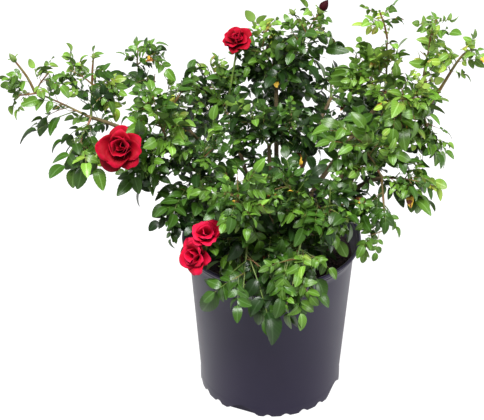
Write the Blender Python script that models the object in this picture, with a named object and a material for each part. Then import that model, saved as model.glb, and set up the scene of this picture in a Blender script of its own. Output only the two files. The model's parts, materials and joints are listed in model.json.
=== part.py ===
"""A bushy red rose in its black nursery pot: pot, potting mix, root crown, canes, sprays of leaves, blooms.

Metres, +Z up. The origin is the centre of the pot's flat underside, +X is the bush's right-hand side
and -Y is its front. Places in the crown are told by a bearing in degrees, turned from +X towards +Y,
a distance out from the pot's axis and a height above the potting mix.
"""

import math
import random
from collections import namedtuple

import bpy
import numpy as np
from mathutils import Vector
from mathutils.bvhtree import BVHTree

MM = 0.001
UP = Vector((0.0, 0.0, 1.0))
# Neighbouring pieces keep this far apart.
CLEAR = 0.3 * MM

# Pot: a turned thin-walled container with a rolled rim and scalloped feet round its base.
SIDES = 32
POT_HEIGHT = 274.0 * MM
RIM_R = 140.0 * MM
BASE_R = 114.0 * MM
WALL = 2.0 * MM
FLOOR = 2.5 * MM
FOOT_BAND = 17.0 * MM
HEEL_R = 86.0 * MM
HEEL_HIGH = 24.5 * MM
NECK_R = 129.2 * MM
NECK_HIGH = 247.0 * MM
LIP_HIGH = 9.0 * MM
FOOT_REPEATS = 4
# Angle from the front, half-width in degrees and height in mm of each notch in a quarter of the base edge.
NOTCHES = ((-24.0, 7.0, 16.0), (-1.0, 2.2, 5.0), (15.0, 3.0, 6.0), (32.0, 2.8, 8.0), (49.0, 2.8, 8.0))
NOTCH_IN = 8.0 * MM
DRAIN_R = 7.0 * MM
DRAIN_AT = 72.0 * MM

# Potting mix: fills the pot to a little under the rim, level near the root crown and uneven beyond.
MIX_TOP = 240.0 * MM
MIX_RINGS = (34.0, 64.0, 94.0, 117.0)
MIX_RELIEF = 3.0 * MM
MIX_GAP = 0.35 * MM

# Root crown: the knobbly short stem that every cane springs from. Height above its cut and radius, in mm.
CROWN_PROFILE = ((0.0, 23.0), (6.0, 18.5), (16.0, 15.5), (34.0, 15.0), (42.0, 11.0), (46.0, 5.5))
CROWN_HIGH = 46.0
CROWN_LEAN = Vector((2.0 * MM, 3.0 * MM, 0.0))
CROWN_SIDES = 12
LOBES = 3
LOBE_SHARE = 0.10

# Limbs, in degrees and mm: what each springs from, the bearing and height of its seat on the root
# crown, its tip, the radius at each end and how far it arches up between them.
Limb = namedtuple("Limb", "name parent seat_bearing seat_high bearing out up thick thin arch")
LIMBS = (
    Limb("cane_left", "root_crown", 187, 31, 187, 160, 200, 4.6, 3.4, 10),
    Limb("bough_left_arm", "cane_left", 0, 0, 186, 270, 260, 3.0, 2.8, 6),
    Limb("cane_left_high", "root_crown", 154, 24, 156, 170, 220, 4.2, 3.0, 8),
    Limb("cane_back_left", "root_crown", 121, 32, 119, 150, 180, 4.2, 3.0, 8),
    Limb("cane_back", "root_crown", 88, 25, 87, 170, 210, 4.4, 3.2, 8),
    Limb("cane_back_right", "root_crown", 56, 32, 56, 170, 200, 4.0, 2.6, 8),
    Limb("cane_right_high", "root_crown", 25, 25, 22, 185, 235, 4.6, 3.3, 8),
    Limb("cane_right", "root_crown", 355, 32, 3, 225, 250, 5.0, 3.4, 10),
    Limb("cane_low_right", "root_crown", 327, 18, 343, 170, 170, 4.2, 3.2, 16),
    Limb("cane_low_left", "root_crown", 210, 16, 199, 120, 145, 4.0, 3.2, 14),
    Limb("cane_front", "root_crown", 250, 24, 249, 95, 130, 3.8, 3.0, 12),
    Limb("cane_front_right", "root_crown", 295, 26, 302, 95, 125, 3.8, 3.0, 12),
    Limb("cane_middle", "root_crown", 0, 90, 105, 20, 185, 4.2, 2.8, 0),
)
LIMB_SIDES = 5
STUB = 5.0 * MM
SHOOT_HIGH = 9.0

# Sprays of leaves by the limb that carries them, in degrees and mm: how far the tip of each lies round
# from the limb's tip, out from it and above it, and how far its twigs reach sideways. Those of the
# root crown are counted from the pot's axis and the potting mix.
SPRAYS = {
    "bough_left_arm": (
        ("leaves_far_left", -3, 80, 35, 56),
        ("leaves_left_low", 8, 25, -30, 46),
        ("leaves_left_high", -10, 0, 30, 48),
    ),
    "cane_left_high": (("leaves_left_crest", 3, 50, 70, 50), ("leaves_left_inner", -16, 5, 15, 48)),
    "cane_left": (("leaves_left_middle", 9, 15, 65, 46), ("leaves_left_under", 12, 50, -10, 40)),
    "cane_back_left": (("leaves_centre_left_high", 0, 45, 30, 48), ("leaves_back_left", 7, 120, -40, 52)),
    "cane_low_left": (("leaves_centre_left", 17, 0, 100, 52), ("leaves_low_left", 10, 45, -25, 46)),
    "cane_back": (
        ("leaves_top_left", 7, 20, 55, 50),
        ("leaves_top_right", -15, 10, 85, 52),
        ("leaves_back", -4, 100, -70, 52),
    ),
    "cane_middle": (("leaves_centre", 35, 30, 40, 52), ("leaves_centre_right", -60, 40, 20, 52)),
    "cane_back_right": (("leaves_centre_right_high", 5, 25, 20, 48), ("leaves_back_right", -6, 90, -60, 52)),
    "cane_right_high": (
        ("leaves_right_shoulder", 11, -20, 40, 46),
        ("leaves_right_crest", 0, 0, 105, 42),
        ("leaves_right_inner", -30, 15, 55, 50),
    ),
    "cane_right": (
        ("leaves_right_top", 2, 5, 110, 42),
        ("leaves_right_tip", -7, 50, 110, 38),
        ("leaves_right_outer", -8, 10, -40, 50),
    ),
    "cane_low_right": (
        ("leaves_right_middle", -4, -35, 65, 54),
        ("leaves_right_low", 1, 55, 0, 48),
        ("leaves_low_right", -14, 25, -60, 48),
    ),
    "cane_front": (("leaves_front_left", -2, 55, 65, 52), ("leaves_rim_left", 7, 95, -100, 52)),
    "cane_front_right": (
        ("leaves_front_middle", -27, 5, 75, 52),
        ("leaves_front_right", 5, 55, 40, 52),
        ("leaves_rim_right", -23, 85, -60, 50),
    ),
    "root_crown": (
        ("leaves_foot_left", 219, 130, 90, 50),
        ("leaves_foot_right", 319, 105, 80, 50),
        ("leaves_foot_front", 268, 115, 105, 46),
        ("leaves_foot_back", 84, 100, 80, 52),
    ),
}

# Blooms, told as the sprays are: the middle of each, its radius, and the bearing and climb of its face.
Bloom = namedtuple("Bloom", "name limb turn out up radius face_bearing face_climb")
BLOOMS = (
    Bloom("bloom_left", "cane_left", 19, 85, 55, 37, 263, 37),
    Bloom("bloom_top", "cane_back_left", -10, 15, 115, 26, 252, 62),
    Bloom("bloom_low", "cane_low_left", 33, 55, -45, 34, 216, 6),
)

# How limbs and stems bend: the shares of their run at which they turn from their seat towards their tip.
BEND_NEAR = 0.16
BEND_FAR = 0.68
LIFT = 0.06
STEM_BEND = 0.28
# Stems that share a limb's tip keep this far apart, and this far from the limb behind, in degrees.
STEMS_APART = 60.0
LIMB_BEHIND = 75.0

# A leaf stays within this many reaches of its stem and this near to the border with its neighbour.
FARTHEST = 1.22
BORDER = 1.12
TWIGS_A_SPRAY = 4
MOST_LEAVES = 13
# Shares of a twig, and of the stem, at which leaves grow, in the order in which they are tried.
LEAF_PLACES = (1.0, 0.55, 0.80, 0.30)
STEM_PLACES = (0.80, 1.0)
# A leaf that has no room is tried turned or smaller: its scale and its turn in radians.
LEAF_TRIES = ((1.0, 0.0), (1.0, 0.45), (1.0, -0.45), (0.85, 0.2), (0.85, -0.7), (0.75, -0.2), (0.75, 0.8))
TURN = math.radians(137.5)
STEM_R = 1.6 * MM
STEM_TAPER = 0.42
TWIG_R = 0.8 * MM
TWIG_TAPER = 0.35
TWIG_SIDES = 3
LEAF_LONG = 52.0 * MM
LEAF_WIDE = 41.0 * MM
LEAF_THICK = 1.4 * MM
ROOT_SUNK = 0.15 * MM
TIP_SUNK = 0.35 * MM
SPINE_AT = 0.30
FOLD = 0.20
LEAF_OUTLINE = ((0.46, -0.5), (1.0, 0.0), (0.46, 0.5))
PETAL_OUTLINE = ((0.55, -0.48), (0.97, -0.26), (0.97, 0.26), (0.55, 0.48))
# Each ring of petals: how many, tilt from the way the flower faces, length, width and foot height in radii.
PETAL_RINGS = ((5, 74.0, 1.0, 1.10, 0.10), (3, 42.0, 0.84, 1.05, 0.24), (2, 14.0, 0.62, 0.80, 0.36))
# The flower's core: distance along the way it faces and radius, in radii of the flower.
BLOOM_CORE = ((-0.03, 0.14), (0.20, 0.30), (0.55, 0.16))
BLOOM_SIDES = 6
BLOOM_REACH = 1.25
RECEPTACLE = 0.45


def clear_scene():
    """Removes whatever the scene starts with."""
    for thing in list(bpy.data.objects):
        bpy.data.objects.remove(thing, do_unlink=True)


def collection(name):
    """A collection linked to the scene."""
    made = bpy.data.collections.new(name)
    bpy.context.scene.collection.children.link(made)
    return made


def material(name, colour, roughness):
    """A plain Principled material in a linear colour."""
    made = bpy.data.materials.new(name)
    made.use_nodes = True
    shader = made.node_tree.nodes["Principled BSDF"]
    shader.inputs["Base Color"].default_value = (*colour, 1.0)
    shader.inputs["Roughness"].default_value = roughness
    return made


def mesh_object(name, verts, faces, home, surface=None):
    """A mesh object in a collection, with its faces turned outwards by the way they are listed."""
    mesh = bpy.data.meshes.new(name)
    mesh.from_pydata([tuple(v) for v in verts], [], [tuple(f) for f in faces])
    mesh.validate()
    made = bpy.data.objects.new(name, mesh)
    home.objects.link(made)
    if surface:
        mesh.materials.append(surface)
    return made


def apply_all(thing):
    """Replaces an object's mesh by what its modifiers make of it, as triangles."""
    graph = bpy.context.evaluated_depsgraph_get()
    graph.update()
    final = bpy.data.meshes.new_from_object(thing.evaluated_get(graph))
    thing.modifiers.clear()
    thing.data = final


def bezier(a, b, c, d, count):
    """Points evenly spread along a cubic curve."""
    points = []
    for i in range(count + 1):
        t = i / count
        s = 1.0 - t
        points.append(a * s**3 + b * (3 * s * s * t) + c * (3 * s * t * t) + d * t**3)
    return points


def ring_frame(direction):
    """Two unit vectors square to a direction."""
    axis = direction.normalized()
    side = UP if abs(axis.dot(UP)) < 0.9 else Vector((0.0, 1.0, 0.0))
    u = axis.cross(side).normalized()
    return u, axis.cross(u)


def tube(path, radii, sides, rounded=False):
    """Vertices and faces of a closed tapering tube, with a rounded far end when asked."""
    path, radii = list(path), list(radii)
    axes = []
    for i in range(len(path)):
        before, after = path[max(i - 1, 0)], path[min(i + 1, len(path) - 1)]
        axes.append((after - before).normalized())
    if rounded:
        end, radius, axis = path[-1], radii[-1], axes[-1]
        for turn in (30.0, 60.0):
            path.append(end + axis * radius * math.sin(math.radians(turn)))
            radii.append(radius * math.cos(math.radians(turn)))
            axes.append(axis)
    u, w = ring_frame(axes[0])
    verts, faces = [], []
    for centre, radius, axis in zip(path, radii, axes):
        u = (u - axis * u.dot(axis)).normalized()
        w = axis.cross(u)
        for k in range(sides):
            angle = 2 * math.pi * k / sides - math.pi / 2
            verts.append(centre + (u * math.cos(angle) + w * math.sin(angle)) * radius)
    for i in range(len(path) - 1):
        for k in range(sides):
            a, b = i * sides + k, i * sides + (k + 1) % sides
            faces += [(a, b, b + sides), (a, b + sides, a + sides)]
    last = (len(path) - 1) * sides
    if rounded:
        tip = len(verts)
        verts.append(path[-1] + axes[-1] * radii[-1] / 4)
        faces += [(last + k, last + (k + 1) % sides, tip) for k in range(sides)]
    else:
        faces += [(last, last + k, last + k + 1) for k in range(1, sides - 1)]
    faces += [(0, k + 1, k) for k in range(1, sides - 1)]
    return verts, faces


def lathe(profile, sides):
    """Vertices and faces of a closed solid turned from (radius, height) points, top axis point to
    bottom axis point."""
    verts = [Vector((0.0, 0.0, profile[0][1]))]
    for radius, height in profile[1:-1]:
        for k in range(sides):
            angle = 2 * math.pi * k / sides
            verts.append(Vector((radius * math.cos(angle), radius * math.sin(angle), height)))
    verts.append(Vector((0.0, 0.0, profile[-1][1])))
    faces = [(0, 1 + k, 1 + (k + 1) % sides) for k in range(sides)]
    rings = len(profile) - 2
    for i in range(rings - 1):
        for k in range(sides):
            a, b = 1 + i * sides + k, 1 + i * sides + (k + 1) % sides
            faces.append((a, a + sides, b + sides, b))
    first, last = 1 + (rings - 1) * sides, len(verts) - 1
    faces += [(first + (k + 1) % sides, first + k, last) for k in range(sides)]
    return verts, faces


def blade(root, along, normal, length, width, outline):
    """A thin leaf or petal folded along its midrib: its root, then the points of its outline as
    shares of its length and width."""
    along = along.normalized()
    side = along.cross(normal).normalized()
    normal = side.cross(along)
    verts = [root]
    for reach, across in outline:
        verts.append(root + along * length * reach + (side * across + normal * abs(across) * FOLD) * width)
    spine = root + along * length * SPINE_AT
    verts += [spine + normal * LEAF_THICK / 2, spine - normal * LEAF_THICK / 2]
    count = len(outline) + 1
    faces = []
    for a in range(count):
        b = (a + 1) % count
        faces += [(a, count, b), (b, count + 1, a)]
    return verts, faces


def volume(verts, faces):
    """The signed volume inside a closed mesh."""
    total = 0.0
    for face in faces:
        for k in range(1, len(face) - 1):
            a, b, c = verts[face[0]], verts[face[k]], verts[face[k + 1]]
            total += a.dot(b.cross(c)) / 6.0
    return total


def outward(shape):
    """The same shape with its faces turned so that it holds a positive volume."""
    verts, faces = shape
    if volume(verts, faces) < 0:
        faces = [tuple(reversed(face)) for face in faces]
    return verts, faces


def tree_of(shape):
    """A search tree of a shape's faces."""
    verts, faces = shape
    triangles = [(f[0], f[k], f[k + 1]) for f in faces for k in range(1, len(f) - 1)]
    return BVHTree.FromPolygons([tuple(v) for v in verts], triangles)


def samples(shape):
    """A shape's vertices and the middles of its edges and faces."""
    verts, faces = shape
    found = list(verts)
    for face in faces:
        found.append(sum((verts[i] for i in face), Vector()) / len(face))
        found += [(verts[face[i]] + verts[face[i - 1]]) / 2 for i in range(len(face))]
    return found


def near(shape, tree, gap):
    """Whether a shape is nearer to a surface than the gap."""
    if tree_of(shape).overlap(tree):
        return True
    return any(tree.find_nearest(p, gap)[0] is not None for p in samples(shape))


class Occupied:
    """Everything built so far, to keep new pieces clear of it."""

    def __init__(self):
        self.trees = []

    def add(self, owner, shape):
        """Counts a shape in."""
        corners = [tuple(v) for v in shape[0]]
        self.trees.append((owner, np.min(corners, axis=0), np.max(corners, axis=0), tree_of(shape)))

    def touches(self, shape, but=None, gap=CLEAR):
        """The owner of the first piece nearer to this shape than the gap, or None."""
        corners = [tuple(v) for v in shape[0]]
        low, high = np.min(corners, axis=0) - gap, np.max(corners, axis=0) + gap
        for owner, its_low, its_high, tree in self.trees:
            apart = (its_low > high).any() or (its_high < low).any()
            if owner != but and not apart and near(shape, tree, gap):
                return owner
        return None


def fuse(name, shapes, home, surface):
    """Joins overlapping closed shapes into one solid, without loose scraps."""
    pieces = collection(name + "_pieces")
    for i, shape in enumerate(shapes[1:]):
        mesh_object(f"{name}_piece_{i}", *outward(shape), pieces)
    body = mesh_object(name, *outward(shapes[0]), home, surface)
    join = body.modifiers.new("join", "BOOLEAN")
    join.operation = "UNION"
    join.operand_type = "COLLECTION"
    join.collection = pieces
    join.solver = "EXACT"
    apply_all(body)
    for piece in list(pieces.objects):
        bpy.data.objects.remove(piece, do_unlink=True)
    bpy.data.collections.remove(pieces)
    keep_largest(body)
    return body


def keep_largest(body):
    """Keeps only the largest connected piece of a mesh, without a hollow sealed inside it."""
    mesh = body.data
    parent = list(range(len(mesh.vertices)))

    def head(i):
        while parent[i] != i:
            parent[i] = parent[parent[i]]
            i = parent[i]
        return i

    for edge in mesh.edges:
        a, b = (head(i) for i in edge.vertices)
        parent[a] = b
    heads = [head(i) for i in range(len(parent))]
    biggest = max(set(heads), key=heads.count)
    keep = [i for i, its in enumerate(heads) if its == biggest]
    index = {old: new for new, old in enumerate(keep)}
    faces = [[index[v] for v in p.vertices] for p in mesh.polygons if p.vertices[0] in index]
    kept = bpy.data.meshes.new(mesh.name)
    kept.from_pydata([tuple(mesh.vertices[i].co) for i in keep], [], faces)
    for surface in mesh.materials:
        kept.materials.append(surface)
    body.data = kept


# ---------------------------------------------------------------- pot, mix and root crown


def inner_wall(height):
    """The pot's inner radius at a height between its heel and its neck."""
    share = (height - HEEL_HIGH) / (NECK_HIGH - HEEL_HIGH)
    return BASE_R + (NECK_R - BASE_R) * share - WALL


def pot_profile():
    """The pot's section, from the middle of the floor up the inside of the wall, over the rolled rim
    and down the outside to the middle of the underside."""
    lip = RIM_R - 7.4 * MM
    lip_foot = POT_HEIGHT - LIP_HIGH
    wall = ((inner_wall(HEEL_HIGH), HEEL_HIGH), (inner_wall(NECK_HIGH), NECK_HIGH))
    inner = ((0.0, FLOOR), (HEEL_R, FLOOR)) + wall
    roll = (
        (lip, lip_foot),
        (RIM_R - 5.2 * MM, POT_HEIGHT),
        (RIM_R - 1.2 * MM, POT_HEIGHT),
        (RIM_R, POT_HEIGHT - 2.0 * MM),
        (RIM_R, lip_foot + 3.4 * MM),
        (RIM_R - 2.0 * MM, lip_foot + 1.6 * MM),
    )
    groove = ((lip + 1.8 * MM, lip_foot + 1.0 * MM), (lip - 1.0 * MM, lip_foot - 5.0 * MM))
    foot = ((BASE_R - 0.6 * MM, FOOT_BAND + 3.0 * MM), (BASE_R, FOOT_BAND), (BASE_R, 0.0), (0.0, 0.0))
    return inner + roll + groove + ((NECK_R, NECK_HIGH),) + foot


def make_pot(home, surface):
    """The container, with notches between its feet and drain holes through its floor."""
    body = mesh_object("pot", *lathe(pot_profile(), SIDES), home, surface)
    cutters = collection("pot_cutters")
    hole = outward(tube((UP * -4 * FLOOR, UP * 4 * FLOOR), (DRAIN_R, DRAIN_R), 12))
    for turn in range(FOOT_REPEATS):
        quarter = 360.0 / FOOT_REPEATS * turn
        for angle, half, high in NOTCHES:
            cutters.objects.link(notch(angle + quarter, half, high * MM))
        angle = math.radians(quarter + 180.0 / FOOT_REPEATS)
        drain = shape_object("drain", hole)
        drain.location = (DRAIN_AT * math.cos(angle), DRAIN_AT * math.sin(angle), 0.0)
        cutters.objects.link(drain)
    cut = body.modifiers.new("cut", "BOOLEAN")
    cut.operation = "DIFFERENCE"
    cut.operand_type = "COLLECTION"
    cut.collection = cutters
    cut.solver = "EXACT"
    apply_all(body)
    for cutter in list(cutters.objects):
        bpy.data.objects.remove(cutter, do_unlink=True)
    bpy.data.collections.remove(cutters)
    return body


def shape_object(name, shape):
    """An object of a shape that isn't in any collection yet."""
    mesh = bpy.data.meshes.new(name)
    mesh.from_pydata([tuple(v) for v in shape[0]], [], [tuple(f) for f in shape[1]])
    return bpy.data.objects.new(name, mesh)


def notch(angle, half, high):
    """A cutter for one gap between the feet, narrower at its top. The angle is from the front."""
    width = BASE_R * math.sin(math.radians(half))
    outline = ((-1.0, -0.8), (1.0, -0.8), (0.62, 1.0), (-0.62, 1.0))
    ends = (BASE_R - NOTCH_IN, BASE_R + NOTCH_IN)
    verts = [Vector((x * width, -y, z * high)) for y in ends for x, z in outline]
    count = len(outline)
    faces = [tuple(range(count)), tuple(reversed(range(count, 2 * count)))]
    for k in range(count):
        after = (k + 1) % count
        faces.append((k, k + count, after + count, after))
    made = shape_object("notch", outward((verts, faces)))
    made.rotation_euler = (0.0, 0.0, math.radians(angle))
    return made


def make_mix(home, surface):
    """The potting mix that fills the pot, level round the crown and a little uneven elsewhere."""
    rng = random.Random(11)
    top = [(0.0, MIX_TOP)] + [(r * MM, MIX_TOP) for r in MIX_RINGS]
    side = [(inner_wall(MIX_TOP) - MIX_GAP, MIX_TOP), (inner_wall(HEEL_HIGH) - MIX_GAP, HEEL_HIGH)]
    bottom = [(HEEL_R - MIX_GAP, FLOOR + MIX_GAP), (0.0, FLOOR + MIX_GAP)]
    verts, faces = lathe(top + side + bottom, SIDES)
    for ring in range(1, len(MIX_RINGS)):
        for k in range(SIDES):
            verts[1 + ring * SIDES + k].z += MIX_RELIEF * (rng.random() - 0.5)
    return mesh_object("potting_mix", verts, faces, home, surface)


def make_crown(home, surface):
    """The root crown, flared at the mix, lobed, leaning a little and rounded on top."""
    section = [(0.0, CROWN_HIGH + 1.5)] + [(r, h) for h, r in reversed(CROWN_PROFILE)] + [(0.0, 0.0)]
    verts, faces = lathe([(r * MM, h * MM) for r, h in section], CROWN_SIDES)
    for v in verts:
        share = v.z / (CROWN_HIGH * MM)
        lobe = 1.0 + LOBE_SHARE * (1.0 - 0.6 * share) * math.cos(LOBES * math.atan2(v.y, v.x) + 0.6)
        v.x, v.y = v.x * lobe, v.y * lobe
        v += CROWN_LEAN * share + UP * (MIX_TOP + CLEAR)
    return mesh_object("root_crown", verts, faces, home, surface), (verts, faces)


# ---------------------------------------------------------------- limbs and stems


def crown_place(bearing, out, up):
    """A point of the crown from its bearing in degrees, its distance out and its height in mm."""
    angle = math.radians(bearing)
    return Vector((out * math.cos(angle), out * math.sin(angle), up)) * MM + UP * MIX_TOP


def by_limb(limb, turn, out, up):
    """A point of the crown told from the tip of the limb that carries it."""
    for row in LIMBS:
        if row.name == limb:
            return crown_place(row.bearing + turn, row.out + out, row.up + up)
    return crown_place(turn, out, up)


def face_of(bloom):
    """The way a bloom faces."""
    bearing, climb = math.radians(bloom.face_bearing), math.radians(bloom.face_climb)
    flat = math.cos(climb)
    return Vector((flat * math.cos(bearing), flat * math.sin(bearing), math.sin(climb)))


def seated(point, way, radius, sides, tree):
    """A point moved out along a way until a limb that starts there is just clear of a surface."""
    for step in range(400):
        start = point + way * (CLEAR + step * 0.02 * MM)
        if not near(tube((start, start + way * STUB), (radius, radius), sides), tree, CLEAR * 0.95):
            return start
    return start


def crown_seat(tree, bearing, height, radius, sides):
    """Where a limb leaves the root crown at a bearing and a height in mm, and the way it starts out.
    One higher than the crown leaves from its top."""
    lean = CROWN_LEAN * min(height / CROWN_HIGH, 1.0)
    out = UP
    if height < CROWN_HIGH:
        out = Vector((math.cos(math.radians(bearing)), math.sin(math.radians(bearing)), 0.0))
    axis = lean + UP * (MIX_TOP + min(height, CROWN_HIGH / 2 if out == UP else height) * MM)
    hit, normal, _, _ = tree.ray_cast(axis + out * 0.1, -out)
    return seated(hit, normal, radius, sides, tree), normal


def limb_paths(crown_shape):
    """For each limb its path, radii and the way its tip points, in the order of the table."""
    crown_tree = tree_of(crown_shape)
    paths = {}
    for limb in LIMBS:
        tip = crown_place(limb.bearing, limb.out, limb.up)
        thick, thin, arch = limb.thick * MM, limb.thin * MM, UP * limb.arch * MM
        if limb.parent == "root_crown":
            start, normal = crown_seat(crown_tree, limb.seat_bearing, limb.seat_high, thick, LIMB_SIDES)
            far = (tip - start).length
            stub = start + normal * STUB
            way = normal * 0.45 + UP * 0.75 + (tip - stub).normalized() * 0.5
            near_bend = stub + way * far * BEND_NEAR
            far_bend = stub.lerp(tip, BEND_FAR) + arch + UP * LIFT * far
            path = [start] + bezier(stub, near_bend, far_bend, tip, 6)
        else:
            centre, radius = paths[limb.parent][0][-1], paths[limb.parent][1][-1]
            way = (tip - centre).normalized()
            start = centre + way * (radius + CLEAR * 1.5)
            near_bend = start + (tip - start) * STEM_BEND + arch
            far_bend = start.lerp(tip, BEND_FAR) + arch
            path = bezier(start, near_bend, far_bend, tip, 5)
        count = len(path) - 1
        radii = [thick + (thin - thick) * i / count for i in range(count + 1)]
        paths[limb.name] = (path, radii, (path[-1] - path[-2]).normalized())
    return paths


def leaving(heading, wanted, fixed):
    """Ways close to the wanted ones but well apart from each other and from the limb behind."""
    ways = [w.normalized() for w in wanted]
    for _ in range(120):
        for i, way in enumerate(ways):
            others = ways[:i] + ways[i + 1:] + fixed
            push = Vector()
            for other in others:
                if way.angle(other) < math.radians(STEMS_APART):
                    push += (way - other) * 0.10
            if way.angle(-heading) < math.radians(LIMB_BEHIND):
                push += heading * 0.10
            ways[i] = (way + push).normalized()
    return ways


def carried_by(limb):
    """The name and stem tip of every spray and bloom on a limb."""
    tips = [(name, by_limb(limb, turn, out, up)) for name, turn, out, up, _ in SPRAYS.get(limb, ())]
    for bloom in BLOOMS:
        if bloom.limb == limb:
            middle = by_limb(limb, bloom.turn, bloom.out, bloom.up)
            tips.append((bloom.name, middle - face_of(bloom) * bloom.radius * RECEPTACLE * MM))
    return tips


def stem_paths(limbs, crown_tree):
    """The path of every spray's and bloom's stem, from just clear of its limb's tip."""
    stems = {}
    for name, tip in carried_by("root_crown"):
        bearing = math.degrees(math.atan2(tip.y, tip.x))
        start, normal = crown_seat(crown_tree, bearing, SHOOT_HIGH, STEM_R, TWIG_SIDES)
        run = tip - start
        far_bend = start + run * BEND_FAR + UP * LIFT * 2 * run.length
        stems[name] = [start] + bezier(start + normal * STUB, start + normal * 4 * STUB, far_bend, tip, 3)
    for limb, (path, radii, heading) in limbs.items():
        carried = carried_by(limb)
        centre, radius = path[-1], radii[-1]
        tree = tree_of(tube(path, radii, LIMB_SIDES, rounded=True))
        fixed = [(limbs[row.name][0][0] - centre).normalized() for row in LIMBS if row.parent == limb]
        ways = leaving(heading, [tip - centre for _, tip in carried], fixed)
        for (name, tip), way in zip(carried, ways):
            start = seated(centre + way * (radius - CLEAR), way, STEM_R, TWIG_SIDES, tree)
            run = tip - start
            near_bend = start + way * run.length * STEM_BEND
            far_bend = start + run * BEND_FAR + UP * LIFT * run.length
            stems[name] = bezier(start, near_bend, far_bend, tip, 4)
    return stems


# ---------------------------------------------------------------- sprays and blooms


class Spaces:
    """Shares the crown out between the sprays: each point belongs to the stem it is nearest to,
    counted in that stem's own reach."""

    def __init__(self, stems, reach):
        self.names = list(stems)
        self.points = [np.array([tuple(p) for p in denser(stems[n])]) for n in self.names]
        self.reach = [reach[n] for n in self.names]

    def holds(self, name, places):
        places = np.array([tuple(p) for p in places])
        shares = []
        for points, reach in zip(self.points, self.reach):
            away = np.linalg.norm(places[:, None, :] - points[None, :, :], axis=2).min(axis=1)
            shares.append(away / reach)
        own = shares.pop(self.names.index(name))
        return bool((own <= FARTHEST).all() and (own <= np.min(shares, axis=0) * BORDER).all())


def denser(path):
    """A path with three points for each of its own."""
    found = []
    for a, b in zip(path, path[1:]):
        found += [a, a.lerp(b, 1 / 3), a.lerp(b, 2 / 3)]
    return found + [path[-1]]


def along_path(path, share):
    """The point at a share of a path, and the way the path goes there."""
    place = min(max(share, 0.0), 0.9999) * (len(path) - 1)
    i = int(place)
    return path[i].lerp(path[i + 1], place - i), (path[i + 1] - path[i]).normalized()


def twig_paths(name, path, reach):
    """The side twigs of a spray: where each starts on its stem and how it runs out and up."""
    rng = random.Random(name)
    phase = rng.uniform(0, 2 * math.pi)
    twigs = []
    for i in range(TWIGS_A_SPRAY):
        share = 0.12 + 0.80 * (i + 0.5 * rng.random()) / TWIGS_A_SPRAY
        base, axis = along_path(path, share)
        u, w = ring_frame(axis)
        angle = phase + TURN * i
        out = u * math.cos(angle) + w * math.sin(angle)
        way = (axis * rng.uniform(0.45, 0.75) + out).normalized()
        length = reach * rng.uniform(0.45, 0.62)
        end = base + way * length + UP * rng.uniform(-0.12, 0.16) * length
        twigs.append([base, end])
    return twigs


def leaf_sites(name, twigs, path):
    """Where each leaf of a spray is rooted, the way it points and the way its face looks."""
    rng = random.Random(name + " leaves")
    sites = []
    for number, twig in enumerate(twigs + [path]):
        places = LEAF_PLACES if number < len(twigs) else STEM_PLACES
        for k, share in enumerate(places):
            root, axis = along_path(twig, share)
            root -= axis * (TIP_SUNK if share == 1.0 else 0.0)
            side = axis.cross(UP).normalized() * (1 if (k + number) % 2 else -1)
            spread = 0.15 if share == 1.0 else rng.uniform(1.0, 1.6)
            way = axis + side * spread + UP * rng.uniform(-0.45, 0.15)
            face = Vector((rng.uniform(-0.5, 0.5), rng.uniform(-0.6, 0.3), 1.0))
            size = rng.uniform(0.84, 1.08)
            sites.append((number, root, way.normalized(), face.normalized(), size))
    return sites


def turned(way, turn):
    """A way turned about the vertical."""
    c, s = math.cos(turn), math.sin(turn)
    return Vector((way.x * c - way.y * s, way.x * s + way.y * c, way.z))


def grow_twigs(name, path, reach, spaces, occupied):
    """The stem and those of its twigs that have room, by number, the stem under None."""
    count = len(path) - 1
    stem = tube(path, [STEM_R * (1.0 - STEM_TAPER * i / count) for i in range(count + 1)], TWIG_SIDES)
    grown = {None: stem}
    trees = []
    twigs = twig_paths(name, path, reach)
    for number, twig in enumerate(twigs):
        shape = tube(twig, (TWIG_R, TWIG_R * (1.0 - TWIG_TAPER)), TWIG_SIDES)
        outer = [p for p in shape[0] if (p - twig[0]).length > 2.5 * TWIG_R]
        if any(near(shape, tree, CLEAR) for tree in trees):
            continue
        if spaces.holds(name, outer) and not occupied.touches(shape, but=name):
            grown[number] = shape
            trees.append(tree_of(shape))
    return grown, twigs


def make_spray(name, path, reach, spaces, occupied, home, surface):
    """One spray of leaves: a stem, the twigs that branch from it and their leaves, fused. A twig or
    leaf that would leave the spray's space or come near another piece is skipped."""
    grown, twigs = grow_twigs(name, path, reach, spaces, occupied)
    trees = {number: tree_of(shape) for number, shape in grown.items()}
    leaves, leaf_trees = [], []
    for number, root, way, face, size in leaf_sites(name, twigs, path):
        on = None if number == len(twigs) else number
        if on not in grown or len(leaves) == MOST_LEAVES:
            continue
        others = [tree for n, tree in trees.items() if n != on] + leaf_trees
        for scale, turn in LEAF_TRIES:
            long, wide = LEAF_LONG * size * scale, LEAF_WIDE * size * scale
            along = turned(way, turn)
            shape = blade(root - along * ROOT_SUNK, along, face, long, wide, LEAF_OUTLINE)
            room = spaces.holds(name, shape[0][1:]) and not any(near(shape, tree, CLEAR) for tree in others)
            if room and not occupied.touches(shape, but=name):
                leaves.append(shape)
                leaf_trees.append(tree_of(shape))
                break
    kept = list(grown.values()) + leaves
    for shape in kept:
        occupied.add(name, shape)
    fuse(name, kept, home, surface)


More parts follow.
